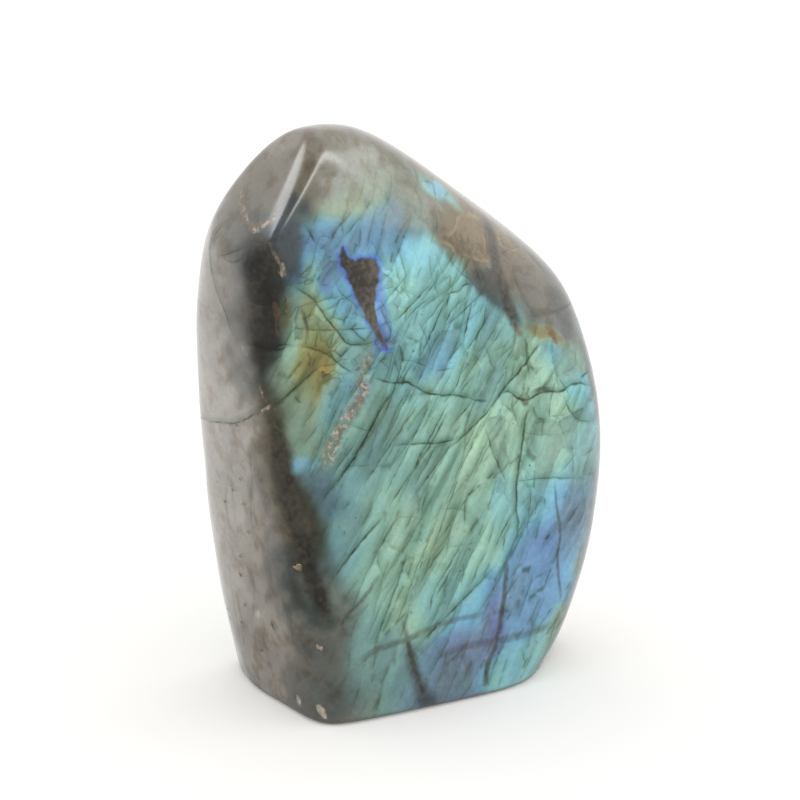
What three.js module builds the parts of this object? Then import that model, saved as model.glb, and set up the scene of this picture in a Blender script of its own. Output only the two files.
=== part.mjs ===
// A labradorite freeform: one piece of labradorite, ground by hand into softly rounded facets,
// polished all over, and sawn flat underneath so that it stands upright on a table.
// Millimetres, +Z up. The broad show face looks along -Y, +X is to its right.
// The origin is at the middle of the bounding box, on the plane of the flat base.

import * as THREE from 'three';
import { mergeVertices } from 'three/addons/utils/BufferGeometryUtils.js';

// Driving dimensions.
const HEART_HEIGHT = 60; // height above the base of the point that every facet is measured from
const BASE_EDGE = 2; // how far the rub round the base's sharp edge reaches up and in
const COLUMNS = 80; // steps round the stone
const SKIN_ROWS = 36; // steps from the top down to the base's edge
const EDGE_ROWS = 3; // steps round the rubbed edge
const BASE_ROWS = 2; // steps across the flat base, to its middle
const SOLVER_STEPS = 40; // the most steps that a search for the skin takes
const SOLVER_GRAIN = 1e-7; // a step this small ends the search, in mm

// The ground facets. Each is a plane, given by the way that it faces and by its reach from the heart:
//   compass   degrees round from the front: 0 front, 90 right, 180 back, 270 left
//   tilt      degrees that the facet looks up from level; below zero it looks down
//   reach     distance from the heart to the facet's plane, in mm
//   softness  how widely the facet rolls over into its neighbours, in mm
const FACETS = [
  // the broad show face, the part of it that leans back near the top, and the brow to its upper right
  { name: 'show face', compass: 0, tilt: 5, reach: 17, softness: 3 },
  { name: 'upper face', compass: 4, tilt: 14, reach: 22.5, softness: 0.9 },
  { name: 'brow', compass: 25, tilt: 31, reach: 33, softness: 2.5 },
  // the narrow left side, which draws in towards the base
  { name: 'left side', compass: 277, tilt: -4, reach: 39.2, softness: 4 },
  { name: 'left foot', compass: 272, tilt: -11, reach: 43.5, softness: 4 },
  // the sloping shoulder, with a narrow crisp bevel between it and the show face
  { name: 'shoulder', compass: 286, tilt: 37, reach: 58.9, softness: 0.5 },
  { name: 'shoulder bevel', compass: 327, tilt: 34, reach: 51.15, softness: 0.3 },
  // the blunt top
  { name: 'crown', compass: 310, tilt: 76, reach: 71.2, softness: 2 },
  { name: 'crown back', compass: 142, tilt: 76.5, reach: 65.6, softness: 2 },
  // the long slope down from the top, then the rounded right side, down to its undercut heel
  { name: 'upper slope', compass: 75, tilt: 55, reach: 51.2, softness: 1.5 },
  { name: 'lower slope', compass: 71, tilt: 48, reach: 50, softness: 1.5 },
  { name: 'right shoulder', compass: 62, tilt: 23, reach: 51.6, softness: 2 },
  { name: 'right cheek', compass: 59, tilt: 11, reach: 50.2, softness: 2 },
  { name: 'right flank', compass: 55, tilt: -3, reach: 51.1, softness: 2 },
  { name: 'lower flank', compass: 52, tilt: -13, reach: 50.6, softness: 2 },
  { name: 'right hip', compass: 49, tilt: -21, reach: 53.4, softness: 2 },
  { name: 'right heel', compass: 38, tilt: -42, reach: 62.5, softness: 2 },
  { name: 'right end', compass: 95, tilt: 0, reach: 47, softness: 3 },
  // the corner between the left side and the back, from the top down
  { name: 'back shoulder', compass: 229, tilt: 54, reach: 70.2, softness: 2 },
  { name: 'back collar', compass: 235, tilt: 38, reach: 60.9, softness: 2 },
  { name: 'back corner', compass: 241, tilt: 15, reach: 52.4, softness: 2 },
  { name: 'lower corner', compass: 244, tilt: -1, reach: 46.8, softness: 2 },
  { name: 'corner foot', compass: 246, tilt: -8, reach: 51.5, softness: 2 },
  { name: 'corner heel', compass: 249, tilt: -16, reach: 50.5, softness: 2 },
  // the plain back, eased over its upper edge
  { name: 'back', compass: 180, tilt: 5, reach: 23, softness: 4 },
  { name: 'back brow', compass: 141, tilt: 40, reach: 53.8, softness: 3 },
  { name: 'back right', compass: 135, tilt: 2, reach: 40, softness: 4 },
  { name: 'back crown', compass: 190, tilt: 45, reach: 54.8, softness: 3 },
];

const HEART = new THREE.Vector3(0, 0, HEART_HEIGHT);

// The level direction at a turn round the stone, in radians: 0 is the front, and it turns towards +X.
function levelDirection(turn) {
  return new THREE.Vector3(Math.sin(turn), -Math.cos(turn), 0);
}

// The outward normal of a facet.
function facetNormal({ compass, tilt }) {
  const rise = THREE.MathUtils.degToRad(tilt);
  return levelDirection(THREE.MathUtils.degToRad(compass))
    .multiplyScalar(Math.cos(rise))
    .setZ(Math.sin(rise));
}

const PLANES = FACETS.map((facet) => ({
  normal: facetNormal(facet),
  reach: facet.reach,
  softness: facet.softness,
}));

// How far a point stands outside each plane, in units of that plane's softness.
function standings(point) {
  const arm = point.clone().sub(HEART);
  return PLANES.map(({ normal, reach, softness }) => (normal.dot(arm) - reach) / softness);
}

// The distance along a ray from inside the stone to its skin. The skin is where the exponentials
// of all the standings add up to 1: a convex solid of planes that melt softly into each other.
// The search starts at the nearest bare plane, which is never inside the skin, and steps inwards.
function distanceToSkin(origin, direction) {
  const slopes = PLANES.map(({ normal, softness }) => normal.dot(direction) / softness);
  const starts = standings(origin);
  const crossings = slopes.map((slope, i) => (slope > 0 ? -starts[i] / slope : Infinity));
  let distance = Math.min(...crossings);
  for (let step = 0; step < SOLVER_STEPS; step += 1) {
    const levels = slopes.map((slope, i) => starts[i] + slope * distance);
    const highest = Math.max(...levels);
    const weights = levels.map((level) => Math.exp(level - highest));
    const total = weights.reduce((sum, weight) => sum + weight, 0);
    const climb = weights.reduce((sum, weight, i) => sum + weight * slopes[i], 0) / total;
    const change = (highest + Math.log(total)) / climb;
    distance -= change;
    if (Math.abs(change) < SOLVER_GRAIN) {
      break;
    }
  }
  return distance;
}

// The level outward direction of the skin at a point on it.
function outwardLevel(point) {
  const sum = new THREE.Vector3();
  standings(point).forEach((standing, i) => {
    sum.addScaledVector(PLANES[i].normal, Math.exp(standing) / PLANES[i].softness);
  });
  return sum.setZ(0).normalize();
}

// One meridian of the stone: its points from the top, down the skin, round the rubbed edge of the
// base, and across the flat base to its middle.
function meridian(turn) {
  const level = levelDirection(turn);
  const foot = new THREE.Vector3(0, 0, BASE_EDGE);
  const edge = foot.clone().addScaledVector(level, distanceToSkin(foot, level));
  const lowest = edge.clone().sub(HEART).angleTo(new THREE.Vector3(0, 0, 1));
  const outward = outwardLevel(edge);
  const points = [];
  for (let row = 0; row <= SKIN_ROWS; row += 1) {
    const angle = (lowest * row) / SKIN_ROWS;
    const direction = level.clone().multiplyScalar(Math.sin(angle)).setZ(Math.cos(angle));
    points.push(HEART.clone().addScaledVector(direction, distanceToSkin(HEART, direction)));
  }
  for (let row = 1; row <= EDGE_ROWS; row += 1) {
    const roll = (0.5 * Math.PI * row) / EDGE_ROWS;
    const point = edge.clone().addScaledVector(outward, -BASE_EDGE * (1 - Math.cos(roll)));
    points.push(point.setZ(row < EDGE_ROWS ? BASE_EDGE * (1 - Math.sin(roll)) : 0));
  }
  const rim = points[points.length - 1];
  for (let row = 1; row <= BASE_ROWS; row += 1) {
    points.push(rim.clone().multiplyScalar(1 - row / BASE_ROWS));
  }
  return points;
}

// The stone's closed skin: a sphere's grid of rows and columns, each vertex moved to its place on
// the meridian of its column. The seam's doubled vertices are merged, and the finished body is
// moved so that its bounding box is centred over the origin.
function stoneGeometry() {
  const rows = SKIN_ROWS + EDGE_ROWS + BASE_ROWS;
  const geometry = new THREE.SphereGeometry(1, COLUMNS, rows);
  const position = geometry.attributes.position;
  for (let column = 0; column <= COLUMNS; column += 1) {
    const points = meridian((2 * Math.PI * (column % COLUMNS)) / COLUMNS);
    for (let row = 0; row <= rows; row += 1) {
      const { x, y, z } = points[row];
      position.setXYZ(row * (COLUMNS + 1) + column, x, y, z);
    }
  }
  geometry.deleteAttribute('normal');
  geometry.deleteAttribute('uv');
  const closed = mergeVertices(geometry);
  closed.computeBoundingBox();
  const middle = closed.boundingBox.getCenter(new THREE.Vector3());
  closed.translate(-middle.x, -middle.y, 0);
  closed.computeVertexNormals();
  return closed;
}

// Polished labradorite: a dark grey body with a blue-green flash on the show face.
const labradorite = new THREE.MeshStandardMaterial({ color: '#5f7f80', roughness: 0.15, metalness: 0 });

const stone = new THREE.Mesh(stoneGeometry(), labradorite);
stone.name = 'stone';

const freeform = new THREE.Group();
freeform.add(stone);

export default freeform;
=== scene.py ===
"""A polished labradorite freeform, standing on its sawn base on a pale studio floor.

The stone is one closed skin: planes melted into each other, cut flat underneath. What lies in the
stone is laid down as fields over that skin, worked out in millimetres on five charts, one for each
way of facing it: zones of flash and of body colour, fissures, bands of filling, and inclusions
with an outline.
The material turns the fields into the look of a feldspar full of thin cleavage plates.
"""

from __future__ import annotations

import logging
import math
from dataclasses import dataclass
from enum import Enum
from typing import ClassVar, Sequence, Union

import bpy
import numpy as np
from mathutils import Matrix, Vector


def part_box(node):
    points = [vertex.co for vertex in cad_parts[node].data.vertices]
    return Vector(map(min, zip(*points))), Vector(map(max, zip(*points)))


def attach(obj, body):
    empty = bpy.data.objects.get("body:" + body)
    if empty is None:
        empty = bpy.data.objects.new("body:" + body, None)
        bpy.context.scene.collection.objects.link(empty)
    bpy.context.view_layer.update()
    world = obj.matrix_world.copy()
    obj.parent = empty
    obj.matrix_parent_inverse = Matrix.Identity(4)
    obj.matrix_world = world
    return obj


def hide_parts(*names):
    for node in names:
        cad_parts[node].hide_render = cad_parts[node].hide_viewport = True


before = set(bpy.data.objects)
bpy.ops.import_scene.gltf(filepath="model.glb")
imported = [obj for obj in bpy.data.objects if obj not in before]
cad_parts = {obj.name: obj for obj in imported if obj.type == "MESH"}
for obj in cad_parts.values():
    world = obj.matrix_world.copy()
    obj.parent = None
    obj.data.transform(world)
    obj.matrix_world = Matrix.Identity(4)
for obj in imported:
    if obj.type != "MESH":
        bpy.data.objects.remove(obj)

log = logging.getLogger("labradorite")

MM = 0.001
SEED = 7

Socket = bpy.types.NodeSocket
Feed = Union[Socket, float, Sequence[float]]
Triple = tuple[float, float, float]
Colour = Triple
Point = tuple[float, float]


def srgb(red: float, green: float, blue: float) -> Colour:
    """Turns a colour given in 0 to 255 display steps into linear light, 0 to 1."""
    steps = (red / 255.0, green / 255.0, blue / 255.0)
    return tuple(s / 12.92 if s <= 0.04045 else ((s + 0.055) / 1.055) ** 2.4 for s in steps)


def level_direction(turn: np.ndarray) -> np.ndarray:
    """Gives the level unit vector (sin t, -cos t, 0) at each turn t round from the front."""
    return np.stack([np.sin(turn), -np.cos(turn), np.zeros_like(turn)], axis=-1)


def ease(value: np.ndarray, low: float, high: float) -> np.ndarray:
    """Gives the smooth step 3t^2 - 2t^3 of value, 0 at low and 1 at high, which may lie below low."""
    t = np.clip((value - low) / (high - low), 0.0, 1.0)
    return t * t * (3.0 - 2.0 * t)


def wander(points: np.ndarray, amount: float, seed: int) -> np.ndarray:
    """Shifts points by a smooth wandering field, so that zones meet along uneven lines.

    The field is a sum of sine waves with random directions, each of which shifts the points along
    its own random vector; the shorter the wave, the smaller its share.

    Args:
        points: Points, (n, 3), in mm.
        amount: The rough size of the shift, in mm.
        seed: Picks the field.

    Returns:
        The shifted points.
    """
    rng = np.random.default_rng(seed)
    shifted = points.copy()
    for length in (31.0, 22.0, 17.0, 13.0, 9.5, 7.0, 5.0, 3.6):
        wave = rng.normal(size=3)
        wave *= 2.0 * math.pi / (length * np.linalg.norm(wave))
        phase = points @ wave + rng.uniform(0.0, 2.0 * math.pi)
        shifted += np.sin(phase)[:, None] * rng.normal(size=3) * amount * math.sqrt(length / 31.0)
    return shifted


# ---------------------------------------------------------------------------------------------
# Shape
# ---------------------------------------------------------------------------------------------


@dataclass(frozen=True)
class Facet:
    """One ground facet, as the CAD model has it.

    Attributes:
        name: What a maker would call it.
        compass: Degrees round from the front; 90 is the right and 270 the left.
        tilt: Degrees that it looks up from level.
        reach: Distance of its plane from the heart, in mm.
        softness: How widely it rolls over into its neighbours, in mm.
    """

    name: str
    compass: float
    tilt: float
    reach: float
    softness: float

    @property
    def normal(self) -> np.ndarray:
        """The facet's outward unit vector."""
        rise = math.radians(self.tilt)
        level = level_direction(np.array(math.radians(self.compass)))
        return level * math.cos(rise) + np.array([0.0, 0.0, math.sin(rise)])


FACETS = (
    Facet("show face", 0, 5, 17, 3),
    Facet("upper face", 4, 14, 22.5, 0.9),
    Facet("brow", 25, 31, 33, 2.5),
    Facet("left side", 277, -4, 39.2, 4),
    Facet("left foot", 272, -11, 43.5, 4),
    Facet("shoulder", 286, 37, 58.9, 0.5),
    Facet("shoulder bevel", 327, 34, 51.15, 0.3),
    Facet("crown", 310, 76, 71.2, 2),
    Facet("crown back", 142, 76.5, 65.6, 2),
    Facet("upper slope", 75, 55, 51.2, 1.5),
    Facet("lower slope", 71, 48, 50, 1.5),
    Facet("right shoulder", 62, 23, 51.6, 2),
    Facet("right cheek", 59, 11, 50.2, 2),
    Facet("right flank", 55, -3, 51.1, 2),
    Facet("lower flank", 52, -13, 50.6, 2),
    Facet("right hip", 49, -21, 53.4, 2),
    Facet("right heel", 38, -42, 62.5, 2),
    Facet("right end", 95, 0, 47, 3),
    Facet("back shoulder", 229, 54, 70.2, 2),
    Facet("back collar", 235, 38, 60.9, 2),
    Facet("back corner", 241, 15, 52.4, 2),
    Facet("lower corner", 244, -1, 46.8, 2),
    Facet("corner foot", 246, -8, 51.5, 2),
    Facet("corner heel", 249, -16, 50.5, 2),
    Facet("back", 180, 5, 23, 4),
    Facet("back brow", 141, 40, 53.8, 3),
    Facet("back right", 135, 2, 40, 4),
    Facet("back crown", 190, 45, 54.8, 3),
)


class MeltedSkin:
    """The skin of a convex solid whose planes melt into each other.

    With s_i = (n_i . (p - heart) - reach_i) / softness_i, the skin is where the sum of exp(s_i)
    over all the planes is 1.
    """

    def __init__(self, facets: Sequence[Facet], heart: np.ndarray) -> None:
        """Keeps the planes as arrays.

        Args:
            facets: The planes.
            heart: The point that their reaches are measured from, in mm.
        """
        self.heart = heart
        self.softness = np.array([f.softness for f in facets])
        self.slopes = np.array([f.normal for f in facets]) / self.softness[:, None]
        self.reaches = np.array([f.reach for f in facets]) / self.softness

    def distance(self, origin: np.ndarray, direction: np.ndarray, steps: int = 30) -> np.ndarray:
        """Follows rays from inside the stone out to its skin.

        The search starts at the nearest bare plane, never inside the skin, and steps inwards by
        Newton's rule on the logarithm of the sum.

        Args:
            origin: Start points, (n, 3), in mm.
            direction: Unit vectors, (n, 3).
            steps: How many times the search steps.

        Returns:
            The n distances, in mm.
        """
        start = (origin - self.heart) @ self.slopes.T - self.reaches
        climb = direction @ self.slopes.T
        crossing = np.where(climb > 0.0, -start / np.where(climb > 0.0, climb, 1.0), np.inf)
        reach = crossing.min(axis=1)
        for _ in range(steps):
            level = start + climb * reach[:, None]
            highest = level.max(axis=1, keepdims=True)
            weight = np.exp(level - highest)
            total = weight.sum(axis=1)
            value = highest[:, 0] + np.log(total)
            reach = reach - value * total / (weight * climb).sum(axis=1)
        return reach

    def outward(self, points: np.ndarray) -> np.ndarray:
        """Gives the skin's outward unit vector at points on it, the gradient of the sum.

        Args:
            points: Points, (n, 3), in mm.

        Returns:
            Unit vectors, (n, 3).
        """
        level = (points - self.heart) @ self.slopes.T - self.reaches
        gradient = np.exp(level) @ self.slopes
        return gradient / np.linalg.norm(gradient, axis=1, keepdims=True)


@dataclass(frozen=True)
class Hollow:
    """A small hollow in the skin, where a chip has left or a grain has plucked out.

    Attributes:
        place: Its middle, (x, y, z) in mm; the nearest skin takes it.
        radius: How wide it is, from its middle, in mm.
        depth: How deep it is, in mm.
    """

    place: Triple
    radius: float
    depth: float


HOLLOWS = (
    Hollow((-30, -22, 3.6), 1.8, 0.35),
    Hollow((-17, -25, 1.4), 1.3, 0.3),
    Hollow((-35, -15, 4), 1.7, 0.3),
    Hollow((4, -25, 1.2), 1.1, 0.25),
    Hollow((-38, 2, 1.4), 1.4, 0.3),
    Hollow((30, 10, 1.4), 1.6, 0.35),
    Hollow((-12, 24, 1.3), 1.5, 0.35),
    Hollow((-43, -2.5, 20.5), 1.6, 0.35),
)


@dataclass(frozen=True)
class StoneForm:
    """The stone's skin as one grid of rows and columns.

    Columns turn round the stone and lie closest together on the show face. Rows run down from the
    top: a fan of rays out of the fan's middle, level rays out of a leaning spine, the quarter
    round of the rubbed base edge, and rings across the flat base.

    Attributes:
        heart_height: The height, in mm, where the columns are spaced.
        base_edge: The radius of the rubbed base edge, in mm.
        columns: How many columns there are.
        fan_rows: How many rows fan out over the top.
        wall_rows: How many rows run down the wall.
        edge_rows: How many rows roll round the base edge.
        base_rows: How many rings cross the base.
        fan_height: The height of the fan's middle, in mm.
        fan_middle: Where it stands above the base, in mm.
        front_density: How close the columns lie on the show face.
        left_density: How close they lie on the left.
        hidden_density: How close they lie elsewhere.
        front_turn: How far to the front the skin faces, from 0 to 1, where the show face's
            density starts and is full.
        left_turn: The same for the left.
        swell: How far the long waves lift the skin, in mm.
    """

    heart_height: float = 60.0
    base_edge: float = 2.0
    columns: int = 322
    fan_rows: int = 82
    wall_rows: int = 206
    edge_rows: int = 4
    base_rows: int = 4
    fan_height: float = 100.0
    fan_middle: Point = (-9.0, 0.0)
    front_density: float = 1.0
    left_density: float = 0.68
    hidden_density: float = 0.3
    front_turn: Point = (0.2, 0.55)
    left_turn: Point = (0.3, 0.7)
    swell: float = 0.05

    def turns(self, skin: MeltedSkin) -> np.ndarray:
        """Spaces the columns along the outline at the height of the heart.

        The outline's arc length is weighted by a density that follows the way the skin faces, and
        the columns part that sum into equal shares.

        Args:
            skin: The skin.

        Returns:
            The columns' turns, in radians, from 0 to just under a full turn.
        """
        turn = np.linspace(0.0, 2.0 * math.pi, 4001)
        direction = level_direction(turn)
        origin = np.tile(np.array([0.0, 0.0, self.heart_height]), (len(turn), 1))
        outline = origin + direction * skin.distance(origin, direction)[:, None]
        normal = skin.outward(outline)
        gain = self.front_density - self.hidden_density
        density = self.hidden_density + gain * ease(-normal[:, 1], *self.front_turn)
        left = self.left_density * ease(-normal[:, 0], *self.left_turn)
        density = np.maximum(density, left)
        step = np.linalg.norm(np.diff(outline, axis=0), axis=1)
        length = np.concatenate([[0.0], np.cumsum(step * 0.5 * (density[1:] + density[:-1]))])
        share = np.arange(self.columns) / self.columns * length[-1]
        return np.interp(share, length, turn)

    def grid(self, skin: MeltedSkin) -> np.ndarray:
        """Lays the grid over the skin.

        Args:
            skin: The skin.

        Returns:
            Points, (rows, columns, 3), in mm, from the top's pole down to the base's pole.
        """
        level = level_direction(self.turns(skin))
        top = np.array([*self.fan_middle, self.fan_height])
        foot = np.array([0.0, 0.0, self.base_edge])
        rise = np.linspace(0.5 * math.pi, 0.0, self.fan_rows, endpoint=False)[:, None, None]
        fan = level[None] * np.cos(rise) + np.array([0.0, 0.0, 1.0]) * np.sin(rise)
        fan_origin = np.broadcast_to(top, fan.shape)
        fall = np.linspace(0.0, 1.0, self.wall_rows)[:, None, None]
        wall_origin = np.broadcast_to(top + (foot - top) * fall, (self.wall_rows, *level.shape))
        wall = np.broadcast_to(level[None], wall_origin.shape)
        origin = np.concatenate([fan_origin, wall_origin]).reshape(-1, 3)
        direction = np.concatenate([fan, wall]).reshape(-1, 3)
        points = origin + direction * skin.distance(origin, direction)[:, None]
        skin_rows = points.reshape(self.fan_rows + self.wall_rows, self.columns, 3)
        return np.concatenate([skin_rows, self.foot_rows(skin, skin_rows[-1])])

    def foot_rows(self, skin: MeltedSkin, edge: np.ndarray) -> np.ndarray:
        """Rolls the skin round the base's rubbed edge and closes the flat base.

        The roll is a quarter circle of radius e: e (1 - cos a) inwards, along the level outward
        direction, at height e (1 - sin a). The base's rings are the rim scaled towards the middle.

        Args:
            skin: The skin.
            edge: The skin's lowest row, (columns, 3), in mm.

        Returns:
            Points, (edge_rows + base_rows, columns, 3), in mm.
        """
        outward = skin.outward(edge) * np.array([1.0, 1.0, 0.0])
        outward /= np.linalg.norm(outward, axis=1, keepdims=True)
        roll = 0.5 * math.pi * np.arange(1, self.edge_rows + 1)[:, None, None] / self.edge_rows
        rows = edge[None] - outward[None] * self.base_edge * (1.0 - np.cos(roll))
        rows[..., 2] = self.base_edge * (1.0 - np.sin(roll[..., 0]))
        rim = rows[-1] * np.array([1.0, 1.0, 0.0])
        rows[-1] = rim
        middle = rim.mean(axis=0)
        share = np.arange(1, self.base_rows + 1)[:, None, None] / self.base_rows
        return np.concatenate([rows, rim[None] + (middle - rim[None]) * share])

    def relief(self, points: np.ndarray, normals: np.ndarray) -> np.ndarray:
        """Works the hand-ground unevenness and the hollows into the skin.

        The swell is a sum of a few long sine waves; a hollow is a shallow bowl.

        Args:
            points: Points on the skin, (n, 3), in mm, in the object's frame.
            normals: The skin's outward vectors there.

        Returns:
            The moved points.
        """
        rng = np.random.default_rng(SEED)
        lift = np.zeros(len(points))
        for length in (16.0, 21.0, 27.0, 34.0, 43.0):
            wave = rng.normal(size=3)
            wave *= 2.0 * math.pi / (length * np.linalg.norm(wave))
            lift += self.swell * (np.sin(points @ wave + rng.uniform(0.0, 6.28)) - 0.1)
        for hollow in HOLLOWS:
            away = np.linalg.norm(points - np.array(hollow.place), axis=1)
            nearest = away.min()
            share = np.sqrt(np.maximum(away**2 - nearest**2, 0.0)) / hollow.radius
            lift -= hollow.depth * ease(share, 1.0, 0.0)
        upright = ease(points[:, 2], 0.0, 0.4)
        return points + normals * (lift * upright)[:, None]


# ---------------------------------------------------------------------------------------------
# What lies in the stone
# ---------------------------------------------------------------------------------------------


class Side(Enum):
    """A side of the stone, by the way it looks, in degrees round from the front."""

    FRONT = 0.0
    RIGHT = 90.0
    BACK = 180.0
    LEFT = 270.0
    CORNER = 320.0

    def chart(self, points: np.ndarray) -> np.ndarray:
        """Places points as someone facing the side sees them: how far right and how high, in mm."""
        rightwards = level_direction(np.array(math.radians(self.value + 90.0)))
        return np.stack([points @ rightwards, points[:, 2]], axis=1)

    def facing(self, normals: np.ndarray) -> np.ndarray:
        """Says how far unit vectors, (n, 3), look this way: 1 straight on, below 0 for turned away."""
        return normals @ level_direction(np.array(math.radians(self.value)))


class Fill(Enum):
    """What a fissure is filled with, by the name of its attribute layers."""

    SHADOW = "fissure"
    BROWN = "band"
    CHIPS = "vein"


@dataclass(frozen=True)
class Fissure:
    """A fissure where it meets the skin.

    Attributes:
        route: Points on its side's chart, in mm, joined by a smooth curve.
        width: How wide it is, in mm.
        strength: How dark it is, 0 to 1.
        side: The side it lies on.
    """

    route: tuple[Point, ...]
    width: float = 0.5
    strength: float = 0.75
    side: Side = Side.FRONT


def smooth_route(route: Sequence[Point], spacing: float = 0.7) -> np.ndarray:
    """Joins points by a Catmull-Rom curve and samples it evenly.

    Args:
        route: The points.
        spacing: The distance between samples, in mm.

    Returns:
        The samples, (n, 2), running from left to right.
    """
    knots = np.array(route, float)
    if knots[-1, 0] < knots[0, 0]:
        knots = knots[::-1]
    padded = np.concatenate([[2 * knots[0] - knots[1]], knots, [2 * knots[-1] - knots[-2]]])
    length = np.linalg.norm(np.diff(knots, axis=0), axis=1)
    share = np.concatenate([[0.0], np.cumsum(length)])
    place = np.linspace(0.0, share[-1], max(3, int(share[-1] / spacing) + 1))
    span = np.clip(np.searchsorted(share, place, side="right") - 1, 0, len(length) - 1)
    t = ((place - share[span]) / length[span])[:, None]
    before, start, end, after = (padded[span + k] for k in range(4))
    bend = 2 * before - 5 * start + 4 * end - after
    twist = -before + 3 * start - 3 * end + after
    return 0.5 * (2 * start + (end - before) * t + bend * t**2 + twist * t**3)


def distance_to_line(chart: np.ndarray, line: np.ndarray) -> tuple[np.ndarray, np.ndarray, np.ndarray]:
    """Measures chart points from a chain of straight pieces.

    Args:
        chart: Chart points, (n, 2).
        line: The chain's points, (m, 2).

    Returns:
        The distance across, positive to the right of the chain's way, with the chain run on
        straight past its ends; how far along the chain that is; and the plain distance to the
        nearest place on it. All are in mm.
    """
    start = line[:-1]
    run = np.diff(line, axis=0)
    length = np.linalg.norm(run, axis=1)
    unit = run / length[:, None]
    arm = chart[:, None, :] - start[None]
    along = (arm * unit[None]).sum(axis=2)
    held = np.clip(along, 0.0, length)
    gap = np.linalg.norm(arm - held[..., None] * unit[None], axis=2)
    nearest = gap.argmin(axis=1)
    row = np.arange(len(chart))
    arm = arm[row, nearest]
    unit = unit[nearest]
    across = arm[:, 0] * unit[:, 1] - arm[:, 1] * unit[:, 0]
    travelled = np.concatenate([[0.0], np.cumsum(length)])[nearest] + along[row, nearest]
    return across, travelled, gap[row, nearest]


class FissureField:
    """Fissures laid over the skin as layers of vertex attributes.

    Each layer holds (signed distance, strength, width). The strength falls to nothing at the
    fissure's reach and at its ends, and two fissures whose reaches meet go on different layers,
    so a layer never has to choose between them. Each limit below is in mm, but for how far the
    skin has to be turned to the side before a fissure starts to show and shows in full.
    """

    reach = 2.2
    taper = 5.0
    overrun = 0.4
    turned_away = 0.12
    turned_to = 0.35
    faintest = 0.002

    def __init__(self, points: np.ndarray, normals: np.ndarray, fill: Fill, layers: int) -> None:
        """Starts with empty layers.

        Args:
            points: The vertices, (n, 3), in mm.
            normals: Their outward vectors.
            fill: The kind of fissure that this field holds.
            layers: The most layers that it may use.
        """
        self.points = points
        self.normals = normals
        self.fill = fill
        self.layers = [np.zeros((len(points), 3)) for _ in range(layers)]
        for layer in self.layers:
            layer[:, 0] = self.reach
        self.used = 0

    def add(self, fissure: Fissure) -> None:
        """Lays one fissure on the first layer that has room for it.

        Args:
            fissure: The fissure.
        """
        line = smooth_route(fissure.route)
        reach = self.reach + 0.5 * fissure.width
        chart = fissure.side.chart(self.points)
        low = line.min(axis=0) - reach
        high = line.max(axis=0) + reach
        facing = fissure.side.facing(self.normals)
        near = np.all((chart > low) & (chart < high), axis=1) & (facing > self.turned_away)
        index = np.flatnonzero(near)
        if not len(index):
            return
        across, along, _ = distance_to_line(chart[index], line)
        total = np.linalg.norm(np.diff(line, axis=0), axis=1).sum()
        taper = min(self.taper, 0.45 * total)
        over = self.overrun
        ends = ease(along, -over, taper) * ease(along, total + over, total - taper)
        edge = ease(np.abs(across), reach, 0.8 * reach)
        shown = ease(facing[index], self.turned_away, self.turned_to)
        strength = fissure.strength * ends * edge * shown
        keep = strength > self.faintest
        index = index[keep]
        values = np.stack([across[keep], strength[keep], np.full(keep.sum(), fissure.width)], axis=1)
        self.place(index, values)

    def place(self, index: np.ndarray, values: np.ndarray) -> None:
        """Writes values into the first free layer; with none free, the stronger value stays.

        Args:
            index: The vertices that they are for.
            values: One row for each.
        """
        for number, layer in enumerate(self.layers):
            if not np.any(layer[index, 1] > 0.0):
                layer[index] = values
                self.used = max(self.used, number + 1)
                return
        layer = self.layers[-1]
        wins = values[:, 1] > layer[index, 1]
        layer[index[wins]] = values[wins]
        self.used = len(self.layers)

    def named_layers(self) -> dict[str, np.ndarray]:
        """Names the layers that are in use, as the material reads them."""
        return {f"{self.fill.value}_{n}": self.layers[n] for n in range(self.used)}


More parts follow.
